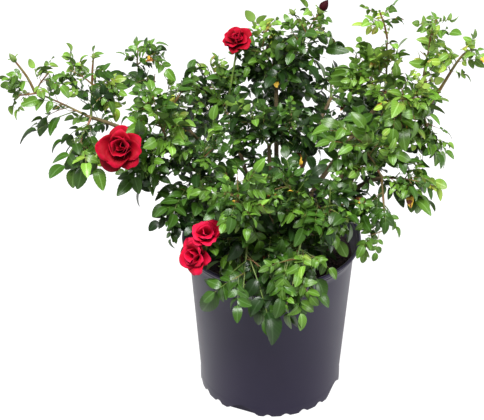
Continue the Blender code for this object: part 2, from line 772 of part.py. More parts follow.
def make_bloom(bloom, path, occupied, home, surface):
    """A flower on its stem: a bud-shaped core and three rings of folded petals, fused."""
    rng = random.Random(bloom.name)
    facing, radius, base = face_of(bloom), bloom.radius * MM, path[-1]
    core = [base + facing * away * radius for away, _ in BLOOM_CORE]
    kept = [
        tube(path, [STEM_R] * len(path), TWIG_SIDES),
        tube(core, [share * radius for _, share in BLOOM_CORE], BLOOM_SIDES),
    ]
    u, w = ring_frame(facing)
    for petals, tilt, long, wide, foot in PETAL_RINGS:
        phase = rng.uniform(0, 2 * math.pi)
        for k in range(petals):
            angle = phase + 2 * math.pi * k / petals
            lean = math.radians(tilt + rng.uniform(-7, 7))
            out = u * math.cos(angle) + w * math.sin(angle)
            along = facing * math.cos(lean) + out * math.sin(lean)
            normal = facing * math.sin(lean) - out * math.cos(lean)
            root = base + facing * foot * radius + out * 0.05 * radius
            shape = blade(root, along, normal, long * radius, wide * radius, PETAL_OUTLINE)
            if not occupied.touches(shape, but=bloom.name):
                kept.append(shape)
    for shape in kept:
        occupied.add(bloom.name, shape)
    fuse(bloom.name, kept, home, surface)


# ---------------------------------------------------------------- assembly


def main():
    """Builds every piece in turn, each clear of what is already there."""
    clear_scene()
    home = collection("rose_bush")
    plastic = material("black plastic", (0.030, 0.026, 0.036), 0.45)
    compost = material("potting mix", (0.030, 0.018, 0.014), 0.95)
    bark = material("rose bark", (0.070, 0.060, 0.025), 0.75)
    leaf = material("rose leaf", (0.060, 0.160, 0.030), 0.45)
    petal = material("rose petal", (0.600, 0.004, 0.020), 0.55)

    occupied = Occupied()
    for body in (make_pot(home, plastic), make_mix(home, compost)):
        polygons = [tuple(p.vertices) for p in body.data.polygons]
        occupied.add(body.name, ([v.co.copy() for v in body.data.vertices], polygons))
    _, crown = make_crown(home, bark)
    occupied.add("root_crown", crown)

    limbs = limb_paths(crown)
    for name, (path, radii, _) in limbs.items():
        shape = outward(tube(path, radii, LIMB_SIDES, rounded=True))
        hit = occupied.touches(shape, gap=CLEAR * 0.8)
        if hit:
            print("limb", name, "touches", hit)
        occupied.add(name, shape)
        mesh_object(name, *shape, home, bark)

    stems = stem_paths(limbs, tree_of(crown))
    reach = {name: size * MM for rows in SPRAYS.values() for name, _, _, _, size in rows}
    reaches = {bloom.name: bloom.radius * BLOOM_REACH * MM for bloom in BLOOMS}
    spaces = Spaces(stems, {**reach, **reaches})
    for name, path in stems.items():
        stem = tube(path, [STEM_R] * len(path), TWIG_SIDES)
        hit = occupied.touches(stem, gap=CLEAR * 0.7)
        if hit:
            print("stem", name, "touches", hit)
        occupied.add(name, stem)
    for bloom in BLOOMS:
        make_bloom(bloom, stems[bloom.name], occupied, home, petal)
    for name, size in reach.items():
        make_spray(name, stems[name], size, spaces, occupied, home, leaf)


main()
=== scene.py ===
# %% [markdown]
# # A red patio rose in its nursery pot
#
# The solids of this rose are plain: tapering canes, kite-shaped leaves on three-sided twigs, folded petals.
# This lesson dresses them. The canes get bark and prickles, each mass of leaves grows on into fine twigs
# and compound leaves, the flowers get ruffled petals, and the pot gets its thin rolled rim.
# Everything is in metres with +Z up, and the pot's underside is centred on the origin.

# %% Load the frame
import json
import math
import random
from collections import namedtuple

import bmesh
import bpy
import numpy as np
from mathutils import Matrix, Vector, noise
from mathutils.bvhtree import BVHTree

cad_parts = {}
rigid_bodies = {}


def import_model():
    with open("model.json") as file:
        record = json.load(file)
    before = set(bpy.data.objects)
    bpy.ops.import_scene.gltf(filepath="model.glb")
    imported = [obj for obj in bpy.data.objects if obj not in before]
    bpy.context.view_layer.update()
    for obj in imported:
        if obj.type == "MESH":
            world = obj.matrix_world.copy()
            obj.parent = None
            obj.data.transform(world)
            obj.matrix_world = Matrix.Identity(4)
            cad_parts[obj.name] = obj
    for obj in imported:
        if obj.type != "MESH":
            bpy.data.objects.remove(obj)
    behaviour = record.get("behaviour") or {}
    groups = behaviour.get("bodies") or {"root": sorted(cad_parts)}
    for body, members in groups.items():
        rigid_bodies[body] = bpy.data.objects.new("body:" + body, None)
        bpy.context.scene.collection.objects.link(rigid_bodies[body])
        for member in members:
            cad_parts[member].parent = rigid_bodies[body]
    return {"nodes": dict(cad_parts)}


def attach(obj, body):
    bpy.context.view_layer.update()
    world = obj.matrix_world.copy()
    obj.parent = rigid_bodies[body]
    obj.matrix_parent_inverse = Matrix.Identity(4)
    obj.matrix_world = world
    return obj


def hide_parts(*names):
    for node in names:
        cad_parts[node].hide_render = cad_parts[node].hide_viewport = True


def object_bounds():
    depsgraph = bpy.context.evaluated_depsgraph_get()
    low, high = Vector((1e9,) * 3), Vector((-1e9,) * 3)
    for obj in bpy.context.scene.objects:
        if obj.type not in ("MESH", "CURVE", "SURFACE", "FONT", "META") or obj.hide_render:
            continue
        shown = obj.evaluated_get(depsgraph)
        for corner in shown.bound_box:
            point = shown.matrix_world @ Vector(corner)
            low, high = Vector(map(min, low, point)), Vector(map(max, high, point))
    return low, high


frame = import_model()
CAD_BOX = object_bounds()
MM = 0.001
UP = Vector((0.0, 0.0, 1.0))
print("CAD nodes:", len(frame["nodes"]), "box:", [tuple(round(c, 3) for c in corner) for corner in CAD_BOX])

# %% [markdown]
# ## Helpers
#
# Colours are picked as sRGB hex values, which is how people read them off a screen, but a shader wants
# linear light, so one function converts. A second one adds a node with its settings and links in a single
# call and gives back its output, which keeps a node tree as short as a recipe. The last two make a plain
# mesh object and hand a finished piece to the frame.


# %% Colours and nodes
def linear(code):
    """Linear RGBA of an sRGB hex colour such as "3f7a2b", by the standard sRGB curve."""
    channels = [int(code[i:i + 2], 16) / 255 for i in (0, 2, 4)]
    return (*(c / 12.92 if c <= 0.04045 else ((c + 0.055) / 1.055) ** 2.4 for c in channels), 1.0)


def wire(tree, node, sockets):
    """Gives each named or numbered socket of a node a value, or a link from another node's output."""
    for socket, value in sockets.items():
        if isinstance(value, bpy.types.NodeSocket):
            tree.links.new(value, node.inputs[socket])
        else:
            node.inputs[socket].default_value = value


def add(tree, kind, sockets=None, out=0, **settings):
    """Adds a node with its settings and links, and returns one of its outputs, or the node if out is None."""
    node = tree.nodes.new(kind)
    for name, value in settings.items():
        setattr(node, name, value)
    wire(tree, node, sockets or {})
    return node if out is None else node.outputs[out]


print("a mid green in linear light:", [round(c, 3) for c in linear("466919")])


# %% Pieces
def mesh_piece(name, verts, faces, finish):
    """A smooth mesh object from vertices and faces, at the origin."""
    mesh = bpy.data.meshes.new(name)
    mesh.from_pydata([tuple(v) for v in verts], [], [tuple(f) for f in faces])
    mesh.validate()
    mesh.shade_smooth()
    mesh.materials.append(finish)
    piece = bpy.data.objects.new(name, mesh)
    bpy.context.scene.collection.objects.link(piece)
    return piece


def hidden_shape(name, verts, faces):
    """A mesh object outside the scene, for a tree to copy or a cut to use."""
    mesh = bpy.data.meshes.new(name)
    mesh.from_pydata(verts, [], faces)
    mesh.shade_smooth()
    return bpy.data.objects.new(name, mesh)


def finish_piece(piece, slot, *nodes):
    """Makes a piece ride on the plant's one body and stand for its CAD nodes. The slot is not used."""
    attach(piece, "root")
    if nodes:
        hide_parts(*nodes)
    piece.data.calc_loop_triangles()
    print(f"{piece.name}: {len(piece.data.loop_triangles)} triangles")


# %% [markdown]
# ## Sizes that the solids were made from
#
# A patio rose is a dozen canes that fan out of one crown at the soil, each ending in a few sprays of
# leaves. The rule that shaped the solids is written again here, from the same driving sizes: each limb by
# the bearing, spread and height of its tip, and each spray of leaves by how far its tip lies from the
# limb's. Growing the fine twigs from the same numbers keeps them inside the room that the solids take up.

# %% Canes
MIX_TOP = 240.0 * MM
CROWN_HIGH = 46.0
CROWN_LEAN = Vector((2.0, 3.0, 0.0)) * MM

# Bearings are in degrees round from the right, and the rest is in mm. The seat is where the limb leaves
# the root crown, the tip is told by bearing, out and up from the mix, and arch lifts the limb's middle.
Limb = namedtuple("Limb", "name parent seat_bearing seat_high bearing out up thick thin arch")
LIMBS = (
    Limb("cane_left", "root_crown", 187, 31, 187, 160, 200, 4.6, 3.4, 10),
    Limb("bough_left_arm", "cane_left", 0, 0, 186, 270, 260, 3.0, 2.8, 6),
    Limb("cane_left_high", "root_crown", 154, 24, 156, 170, 220, 4.2, 3.0, 8),
    Limb("cane_back_left", "root_crown", 121, 32, 119, 150, 180, 4.2, 3.0, 8),
    Limb("cane_back", "root_crown", 88, 25, 87, 170, 210, 4.4, 3.2, 8),
    Limb("cane_back_right", "root_crown", 56, 32, 56, 170, 200, 4.0, 2.6, 8),
    Limb("cane_right_high", "root_crown", 25, 25, 22, 185, 235, 4.6, 3.3, 8),
    Limb("cane_right", "root_crown", 355, 32, 3, 225, 250, 5.0, 3.4, 10),
    Limb("cane_low_right", "root_crown", 327, 18, 343, 170, 170, 4.2, 3.2, 16),
    Limb("cane_low_left", "root_crown", 210, 16, 199, 120, 145, 4.0, 3.2, 14),
    Limb("cane_front", "root_crown", 250, 24, 249, 95, 130, 3.8, 3.0, 12),
    Limb("cane_front_right", "root_crown", 295, 26, 302, 95, 125, 3.8, 3.0, 12),
    Limb("cane_middle", "root_crown", 0, 90, 105, 20, 185, 4.2, 2.8, 0),
)
LIMB_OF = {limb.name: limb for limb in LIMBS}
print("limbs:", len(LIMBS))

# %% Where the sprays are
# For each spray: how far its tip lies round, out and up from the limb's, its reach, and its tone, from
# 0 for the oldest, darkest leaves to 1 for lime-green new growth.
SPRAYS = {
    "bough_left_arm": (
        ("leaves_far_left", -3, 80, 35, 56, 0.43),
        ("leaves_left_low", 8, 25, -30, 46, 0.47),
        ("leaves_left_high", -10, 0, 30, 48, 0.37),
    ),
    "cane_left_high": (
        ("leaves_left_crest", 3, 50, 70, 50, 0.29),
        ("leaves_left_inner", -16, 5, 15, 48, 0.42),
    ),
    "cane_left": (
        ("leaves_left_middle", 9, 15, 65, 46, 0.52),
        ("leaves_left_under", 12, 50, -10, 40, 0.32),
    ),
    "cane_back_left": (
        ("leaves_centre_left_high", 0, 45, 30, 48, 0.25),
        ("leaves_back_left", 7, 120, -40, 52, 0.30),
    ),
    "cane_low_left": (
        ("leaves_centre_left", 17, 0, 100, 52, 0.36),
        ("leaves_low_left", 10, 45, -25, 46, 0.25),
    ),
    "cane_back": (
        ("leaves_top_left", 7, 20, 55, 50, 0.27),
        ("leaves_top_right", -15, 10, 85, 52, 0.28),
        ("leaves_back", -4, 100, -70, 52, 0.30),
    ),
    "cane_middle": (
        ("leaves_centre", 35, 30, 40, 52, 0.22),
        ("leaves_centre_right", -60, 40, 20, 52, 0.25),
    ),
    "cane_back_right": (
        ("leaves_centre_right_high", 5, 25, 20, 48, 0.25),
        ("leaves_back_right", -6, 90, -60, 52, 0.30),
    ),
    "cane_right_high": (
        ("leaves_right_shoulder", 11, -20, 40, 46, 0.62),
        ("leaves_right_crest", 0, 0, 105, 42, 0.78),
        ("leaves_right_inner", -30, 15, 55, 50, 0.60),
    ),
    "cane_right": (
        ("leaves_right_top", 2, 5, 110, 42, 0.78),
        ("leaves_right_tip", -7, 50, 110, 38, 0.82),
        ("leaves_right_outer", -8, 10, -40, 50, 0.55),
    ),
    "cane_low_right": (
        ("leaves_right_middle", -4, -35, 65, 54, 0.48),
        ("leaves_right_low", 1, 55, 0, 48, 0.55),
        ("leaves_low_right", -14, 25, -60, 48, 0.42),
    ),
    "cane_front": (
        ("leaves_front_left", -2, 55, 65, 52, 0.38),
        ("leaves_rim_left", 7, 95, -100, 52, 0.36),
    ),
    "cane_front_right": (
        ("leaves_front_middle", -27, 5, 75, 52, 0.36),
        ("leaves_front_right", 5, 55, 40, 52, 0.38),
        ("leaves_rim_right", -23, 85, -60, 50, 0.39),
    ),
    "root_crown": (
        ("leaves_foot_left", 219, 130, 90, 50, 0.20),
        ("leaves_foot_right", 319, 105, 80, 50, 0.38),
        ("leaves_foot_front", 268, 115, 105, 46, 0.25),
        ("leaves_foot_back", 84, 100, 80, 52, 0.20),
    ),
}
SPRAY_NODES = [row[0] for rows in SPRAYS.values() for row in rows]
print("sprays:", len(SPRAY_NODES), "on", len(SPRAYS), "limbs")

# %% Where the flowers are
# The flowers are placed from their limb's tip in the same way, and face a bearing and a climb in degrees.
Bloom = namedtuple("Bloom", "name limb turn out up radius face_bearing face_climb")
BLOOMS = (
    Bloom("bloom_left", "cane_left", 19, 85, 55, 37, 263, 37),
    Bloom("bloom_top", "cane_back_left", -10, 15, 115, 26, 252, 62),
    Bloom("bloom_low", "cane_low_left", 33, 55, -45, 34, 216, 6),
)
print("flowers:", len(BLOOMS), "the widest:", 2 * max(bloom.radius for bloom in BLOOMS), "mm")

# %% [markdown]
# ## Where the limbs and stems run
#
# A cane leaves the knobbly root crown square to its surface, turns up within a few centimetres and then
# leans out to its tip. It could be drawn point by point, but one cubic curve says all of that with two
# bends. The stems of the sprays start at a limb's tip and fan apart there, so each pushes gently away from
# its neighbours until they are about 60 degrees apart.


# %% Places in the crown
def bezier(a, b, c, d, count):
    """Points evenly spread along a cubic curve."""
    points = []
    for i in range(count + 1):
        t = i / count
        s = 1.0 - t
        points.append(a * s**3 + b * (3 * s * s * t) + c * (3 * s * t * t) + d * t**3)
    return points


def way_of(bearing, climb=0.0):
    """The way of a bearing and a climb in degrees."""
    bearing, climb = math.radians(bearing), math.radians(climb)
    flat = math.cos(climb)
    return Vector((flat * math.cos(bearing), flat * math.sin(bearing), math.sin(climb)))


def crown_place(bearing, out, up):
    """A point of the crown from its bearing in degrees, its distance out and its height in mm."""
    return (way_of(bearing) * out + UP * up) * MM + UP * MIX_TOP


def by_limb(name, turn, out, up):
    """A point of the crown told from a limb's tip, or from the root crown where the name is no limb's."""
    if name not in LIMB_OF:
        return crown_place(turn, out, up)
    limb = LIMB_OF[name]
    return crown_place(limb.bearing + turn, limb.out + out, limb.up + up)


print("tip of the left cane:", [round(c, 3) for c in by_limb("cane_left", 0, 0, 0)])

# %% Limb paths
RAY_FROM = 100.0 * MM
STUB = 5.0 * MM
START_OUT, START_UP, START_ON = 0.45, 0.75, 0.50
BEND_NEAR, BEND_FAR = 0.16, 0.68
STEM_BEND = 0.28
LIFT = 0.06
LIMB_STEPS, BOUGH_STEPS = 12, 10


def crown_seat(tree, bearing, height):
    """Where a limb leaves the root crown, at a bearing and a height in mm, and the way it starts out."""
    lean = CROWN_LEAN * min(height / CROWN_HIGH, 1.0)
    on_top = height >= CROWN_HIGH
    out = UP if on_top else way_of(bearing)
    level = CROWN_HIGH / 2 if on_top else height
    hit, normal, _, _ = tree.ray_cast(lean + UP * (MIX_TOP + level * MM) + out * RAY_FROM, -out)
    return hit, normal


def limb_paths(crown_tree):
    """For each limb its path, its radii and the way its tip points."""
    paths = {}
    for limb in LIMBS:
        tip, arch = crown_place(limb.bearing, limb.out, limb.up), UP * limb.arch * MM
        if limb.parent in paths:
            start = paths[limb.parent][0][-1]
            near_bend = start + (tip - start) * STEM_BEND + arch
            path = bezier(start, near_bend, start.lerp(tip, BEND_FAR) + arch, tip, BOUGH_STEPS)
        else:
            start, normal = crown_seat(crown_tree, limb.seat_bearing, limb.seat_high)
            far = (tip - start).length
            stub = start + normal * STUB
            way = normal * START_OUT + UP * START_UP + (tip - stub).normalized() * START_ON
            far_bend = stub.lerp(tip, BEND_FAR) + arch + UP * LIFT * far
            path = [start - normal * STUB / 2]
            path += bezier(stub, stub + way * far * BEND_NEAR, far_bend, tip, LIMB_STEPS)
        last = len(path) - 1
        radii = [(limb.thick + (limb.thin - limb.thick) * i / last) * MM for i in range(last + 1)]
        paths[limb.name] = (path, radii, (path[-1] - path[-2]).normalized())
    return paths


crown = frame["nodes"]["root_crown"].data
crown_tree = BVHTree.FromPolygons([v.co for v in crown.vertices], [p.vertices for p in crown.polygons])
limbs = limb_paths(crown_tree)
print("points on the longest limb:", max(len(path) for path, _, _ in limbs.values()))

# %% Stems that fan apart
STEMS_APART = 60.0
LIMB_BEHIND = 75.0
PUSH = 0.10
PUSH_ROUNDS = 120
RECEPTACLE = 0.45


def leaving(heading, wanted, fixed):
    """Ways close to the wanted ones but well apart from each other and from the limb behind."""
    ways = [w.normalized() for w in wanted]
    for _ in range(PUSH_ROUNDS):
        for i, way in enumerate(ways):
            push = Vector()
            for other in ways[:i] + ways[i + 1:] + fixed:
                if way.angle(other) < math.radians(STEMS_APART):
                    push += (way - other) * PUSH
            if way.angle(-heading) < math.radians(LIMB_BEHIND):
                push += heading * PUSH
            ways[i] = (way + push).normalized()
    return ways


def carried_by(limb):
    """The name and stem tip of every spray and flower on a limb."""
    tips = [(row[0], by_limb(limb, *row[1:4])) for row in SPRAYS.get(limb, ())]
    for bloom in BLOOMS:
        if bloom.limb == limb:
            middle = by_limb(limb, bloom.turn, bloom.out, bloom.up)
            facing = way_of(bloom.face_bearing, bloom.face_climb)
            tips.append((bloom.name, middle - facing * bloom.radius * RECEPTACLE * MM))
    return tips


print("stems on the left arm:", [name for name, _ in carried_by("bough_left_arm")])

# %% Stem paths
FOOT_HIGH = 9.0
FOOT_STUBS = 4
FOOT_LIFT = 0.12
STEM_STEPS = 8


def stem_paths(limbs, crown_tree):
    """The path of every spray's and flower's stem."""
    stems = {}
    for name, tip in carried_by("root_crown"):
        start, normal = crown_seat(crown_tree, math.degrees(math.atan2(tip.y, tip.x)), FOOT_HIGH)
        far_bend = start.lerp(tip, BEND_FAR) + UP * FOOT_LIFT * (tip - start).length
        near_bend = start + normal * FOOT_STUBS * STUB
        stems[name] = bezier(start - normal * STUB / 3, near_bend, far_bend, tip, STEM_STEPS)
    for limb, (path, _, heading) in limbs.items():
        carried, fork = carried_by(limb), path[-1]
        fixed = [(limbs[row.name][0][1] - fork).normalized() for row in LIMBS if row.parent == limb]
        for (name, tip), way in zip(carried, leaving(heading, [tip - fork for _, tip in carried], fixed)):
            run = (tip - fork).length
            far_bend = fork.lerp(tip, BEND_FAR) + UP * LIFT * run
            stems[name] = bezier(fork, fork + way * run * STEM_BEND, far_bend, tip, STEM_STEPS)
    return stems


stems = stem_paths(limbs, crown_tree)
lengths = [sum((b - a).length for a, b in zip(path, path[1:])) for path in stems.values()]
print("stems:", len(stems), "the longest:", round(max(lengths), 3), "m")

# %% [markdown]
# ## Growing the twigs
#
# A rose shoot is a zigzag of nodes, and the next leaf always comes out about 137.5 degrees further round.
# Scattering twigs at random would leave clumps and holes. That one angle spreads twigs and leaves evenly
# without any of them repeating. Each spray gets the side twigs of the solids, finer ones between them, and
# compound leaves all along both.

# %% Twigs
TURN = math.radians(137.5)
NEARLY_UP = 0.9
PATH_END = 0.9999
TWIGS_TO = 0.92
TWIG_SCATTER = 0.5
TWIG_LEAN = (0.45, 0.75)
TWIG_LONG = (0.45, 0.62)
TWIG_RISE = (-0.12, 0.16)
TWIG_BOW = (0.0, 0.10)


def square_to(direction):
    """Two unit vectors square to a direction and to each other."""
    axis = direction.normalized()
    side = UP if abs(axis.dot(UP)) < NEARLY_UP else Vector((0.0, 1.0, 0.0))
    u = axis.cross(side).normalized()
    return u, axis.cross(u)


def round_from(direction, angle):
    """A unit vector square to a direction, at an angle round it."""
    u, w = square_to(direction)
    return u * math.cos(angle) + w * math.sin(angle)


def along_path(path, share):
    """The point at a share of a path, and the way the path goes there."""
    place = min(max(share, 0.0), PATH_END) * (len(path) - 1)
    i = int(place)
    return path[i].lerp(path[i + 1], place - i), (path[i + 1] - path[i]).normalized()


def side_twigs(rng, path, reach, count, bare):
    """Side twigs by the golden turn: each starts past the bare foot and runs out and up in a slight bow."""
    phase = rng.uniform(0, 2 * math.pi)
    twigs = []
    for i in range(count):
        share = bare + (TWIGS_TO - bare) * (i + TWIG_SCATTER * rng.random()) / count
        base, axis = along_path(path, share)
        way = (axis * rng.uniform(*TWIG_LEAN) + round_from(axis, phase + TURN * i)).normalized()
        length = reach * rng.uniform(*TWIG_LONG)
        end = base + way * length + UP * rng.uniform(*TWIG_RISE) * length
        middle = base.lerp(end, 0.5) + UP * rng.uniform(*TWIG_BOW) * length
        twigs.append([base, middle, end])
    return twigs


trial = side_twigs(random.Random(1), stems["leaves_back"], 50 * MM, 4, 0.2)
print("four side twigs on a stem reach", [round((twig[-1] - twig[0]).length / MM) for twig in trial], "mm")

# %% [markdown]
# ## Compound leaves
#
# A rose leaf is five or seven leaflets on one stalk: pairs opposite each other and a larger one at the end.
# Nothing is modelled here yet. The rule only works out where every leaflet sits, which way it points and
# which way its face looks, and keeps that as numbers for a Geometry Nodes tree to put leaflets on. Thousands
# of leaves then cost no more code than one.

# %% Where leaves may be
POT_CLEAR_R = 143.0 * MM
POT_CLEAR_HIGH = 277.0 * MM
MIX_CLEAR_R = 122.0 * MM
MIX_CLEAR_HIGH = 4.0 * MM
ROOM_ROUND = 16.0 * MM


def in_pot(point):
    """Whether a point is in the pot's wall or under the potting mix."""
    spread = math.hypot(point.x, point.y)
    if point.z > POT_CLEAR_HIGH or spread > POT_CLEAR_R:
        return False
    return not (spread < MIX_CLEAR_R and point.z > MIX_TOP + MIX_CLEAR_HIGH)


def in_room(point):
    """Whether a point keeps to the room of the solids and a little round them."""
    return all(low - ROOM_ROUND < c < high + ROOM_ROUND for c, low, high in zip(point, *CAD_BOX))


print("the root crown is in the pot:", in_pot(UP * MIX_TOP), "and in the room:", in_room(UP * MIX_TOP))

# %% One compound leaf
TINTS = ("dark", "deep", "mid", "light", "lime")
LEAF_LONG = 50.0 * MM
STALK_SHARE = 0.72
STALK_BOW = 0.07
STALK_R = (0.60 * MM, 0.50 * MM, 0.35 * MM)
STALK_DROOP = (0.0, 0.35)
RED_STALK_FROM = 0.50
# The places of the pairs along the stalk, in a leaf of five leaflets and in one of seven.
FIVE, SEVEN = (0.42, 0.74), (0.28, 0.54, 0.80)
FIVE_OFTEN = 0.65
LEAFLET_LONG = 18.5 * MM
END_LEAFLET = 1.12
PAIR_LONG, PAIR_GROWS = 0.70, 0.25
LEAFLET_TURN = (0.85, 1.25)
LEAFLET_HANG = (-0.10, 0.55)
LEAFLET_ROLL, LEAFLET_NOD = 0.75, 0.60
LEAFLET_VARY = (0.85, 1.15)
WITHERED = 0.005

leaflets = {tint: [] for tint in TINTS + ("yellowed",)}
stalks = {"green": [], "red": []}


def compound_leaf(rng, root, way, face, size, tone):
    """One leaf: its stalk, its pairs of leaflets and the larger leaflet at its end."""
    side = way.cross(face).normalized()
    face = side.cross(way)
    length = LEAF_LONG * size * STALK_SHARE
    end = root + way * length - UP * rng.uniform(*STALK_DROOP) * length
    stalk = [root, root.lerp(end, 0.5) + UP * STALK_BOW * length, end]
    spots = [(1.0, 0.0, END_LEAFLET)]
    for share in FIVE if rng.random() < FIVE_OFTEN else SEVEN:
        scale = PAIR_LONG + PAIR_GROWS * share
        spots += [(share, sign * rng.uniform(*LEAFLET_TURN), scale) for sign in (-1, 1)]
    tint = TINTS[min(max(int(tone * len(TINTS)), 0), len(TINTS) - 1)]
    for share, turn, scale in spots:
        place, axis = along_path(stalk, share)
        along = axis * math.cos(turn) + side * math.sin(turn) - UP * rng.uniform(*LEAFLET_HANG)
        roll, nod = rng.uniform(-LEAFLET_ROLL, LEAFLET_ROLL), rng.uniform(-LEAFLET_NOD, LEAFLET_NOD)
        look = (face + side * roll + way * nod).normalized()
        long = LEAFLET_LONG * size * scale * rng.uniform(*LEAFLET_VARY)
        kept = "yellowed" if rng.random() < WITHERED else tint
        leaflets[kept].append((place, along.normalized(), look, long, rng.randrange(3), rng.random()))
    colour = "red" if tone > RED_STALK_FROM else "green"
    stalks[colour].append((stalk, [r * size for r in STALK_R]))


print("a leaf is", LEAF_LONG / MM, "mm long and comes in", len(TINTS), "tints")

# %% Leaves along a twig
LEAF_STEP = 10.5 * MM
LEAF_REACH = 1.12
FACE_OUT, FACE_WILD = 0.30, 0.50
YOUNG_FROM = 0.90
YOUNG_SIZE, OLD_SIZE = 0.72, 0.98
SIZE_VARY, SMALLEST, LARGEST = 0.24, 0.5, 1.4
TONE_VARY, YOUNG_TONE, OLD_TONE = 0.12, 0.16, -0.04
TRIES, TRY_STEP, TRY_WILD = 4, 3, 0.4
END_FROM, END_SPREAD = 0.99, 0.2
LEAF_SPREAD = (0.9, 1.6)
LEAF_LIFT = (-0.25, 0.20)


def leaf_face(rng, root):
    """The way a leaf's face looks: mostly up and out to the light."""
    outward = Vector((root.x, root.y, 0.0)).normalized()
    wild = Vector((rng.gauss(0, 1), rng.gauss(0, 1), rng.gauss(0, 1)))
    return (UP + outward * FACE_OUT + wild * FACE_WILD).normalized()


def leaf_out(rng, path, stem, farthest, tone, bare, scale=1.0):
    """Leaves along a twig past its bare foot, by the golden turn, where they stay in the spray's room."""
    length = sum((b - a).length for a, b in zip(path, path[1:]))
    count = max(2, round(length * (1.0 - bare) / (LEAF_STEP * scale)))
    grown = 0
    for i in range(count + 1):
        share = bare + (1.0 - bare) * i / count
        root, axis = along_path(path, share)
        young = share > YOUNG_FROM
        size = rng.gauss(YOUNG_SIZE if young else OLD_SIZE, SIZE_VARY)
        size = scale * min(max(size, SMALLEST), LARGEST)
        for attempt in range(TRIES):
            out = round_from(axis, TURN * (i + attempt * TRY_STEP) + rng.uniform(-TRY_WILD, TRY_WILD))
            spread = END_SPREAD if share > END_FROM else rng.uniform(*LEAF_SPREAD)
            way = (axis + out * spread + UP * rng.uniform(*LEAF_LIFT)).normalized()
            tip = root + way * LEAF_LONG * size * LEAF_REACH
            near = min((tip - p).length for p in stem)
            if near < farthest and in_room(tip) and not in_pot(tip) and not in_pot(root.lerp(tip, 0.5)):
                break
        else:
            continue
        shade = tone + rng.gauss(0, TONE_VARY) + (YOUNG_TONE if young else OLD_TONE)
        compound_leaf(rng, root, way, leaf_face(rng, root), size, shade)
        grown += 1
    return grown


print("leaves stand", LEAF_STEP / MM, "mm apart")

# %% [markdown]
# ## Sprays and shoots
#
# A spray is a stem with side twigs and finer twigs, all in leaf. The sprays at the edge of the crown are
# young and more open, so they have fewer twigs and a bare foot. The strongest shoots run on past the crown,
# with a few young leaves and often a bud, and they give a rose its spiky outline. One rule grows all of
# them, and a short table says where a spray differs from the rest.

# %% Habits of the sprays
# The bare share of a spray's stem, its side twigs and fine twigs, its share of the usual reach, and the
# size of its leaves: first for most sprays, then for those that differ.
Habit = namedtuple("Habit", "bare sides fines share size")
USUAL = Habit(0.15, 4, 8, 1.00, 1.00)
HABITS = {
    "leaves_far_left": Habit(0.20, 3, 1, 0.80, 1.60),
    "leaves_left_low": Habit(0.20, 4, 4, 0.92, 1.45),
    "leaves_left_high": Habit(0.25, 3, 4, 0.85, 1.28),
    "leaves_left_crest": Habit(0.50, 3, 2, 0.70, 1.28),
    "leaves_left_inner": Habit(0.25, 3, 2, 0.76, 1.12),
    "leaves_left_middle": Habit(0.25, 4, 3, 0.90, 1.00),
    "leaves_back_left": Habit(0.20, 4, 2, 0.80, 1.00),
    "leaves_left_under": Habit(0.20, 4, 5, 0.86, 1.12),
    "leaves_low_left": Habit(0.25, 4, 4, 0.74, 1.10),
    "leaves_top_right": Habit(0.20, 4, 6, 0.95, 1.00),
    "leaves_centre_left_high": Habit(0.15, 4, 7, 0.95, 0.85),
    "leaves_top_left": Habit(0.10, 4, 9, 1.00, 0.90),
    "leaves_centre": Habit(0.15, 4, 9, 0.95, 0.80),
    "leaves_centre_right": Habit(0.15, 4, 9, 0.95, 0.80),
    "leaves_centre_left": Habit(0.15, 4, 4, 0.92, 0.85),
    "leaves_front_middle": Habit(0.15, 4, 9, 0.95, 0.80),
    "leaves_centre_right_high": Habit(0.20, 4, 4, 0.62, 0.90),
    "leaves_right_shoulder": Habit(0.25, 4, 6, 0.86, 1.05),
    "leaves_right_crest": Habit(0.25, 4, 4, 0.76, 1.05),
    "leaves_right_top": Habit(0.10, 4, 5, 0.80, 1.10),
    "leaves_right_tip": Habit(0.60, 0, 1, 0.85, 1.00),
    "leaves_right_outer": Habit(0.20, 4, 5, 0.72, 1.05),
    "leaves_right_low": Habit(0.20, 4, 5, 0.72, 1.10),
    "leaves_low_right": Habit(0.30, 3, 3, 0.66, 1.10),
    "leaves_rim_left": Habit(0.32, 4, 4, 1.00, 1.48),
    "leaves_rim_right": Habit(0.40, 4, 4, 1.00, 1.42),
    "leaves_front_left": Habit(0.15, 4, 9, 1.00, 0.90),
    "leaves_front_right": Habit(0.15, 4, 9, 1.00, 0.90),
    "leaves_foot_front": Habit(0.40, 3, 2, 0.85, 1.10),
    "leaves_foot_right": Habit(0.25, 3, 4, 0.90, 1.10),
}
print("sprays with a habit of their own:", len(HABITS), "of", len(SPRAY_NODES))

# %% Sprays
STEM_R = 2.2 * MM
STEM_TAPER = 0.5
STRONG_FROM = 0.60
STRONG_STEM = 1.45
RED_STEM_FROM = 0.40
TWIG_RADII = (1.0 * MM, 0.8 * MM, 0.6 * MM)
FINE_SHARE = 0.85
BARE_TWIG = 0.30
FARTHEST = 1.36


def leafy_twigs(rng, twigs, stem, farthest, tone, size, colours):
    """Twigs that stay out of the pot, in leaf. Returns the number of leaves."""
    grown = 0
    for twig in twigs:
        if any(in_pot(p) for p in twig):
            continue
        stalks[rng.choice(colours)].append((twig, TWIG_RADII))
        grown += leaf_out(rng, twig, stem, farthest, tone, BARE_TWIG, size)
    return grown


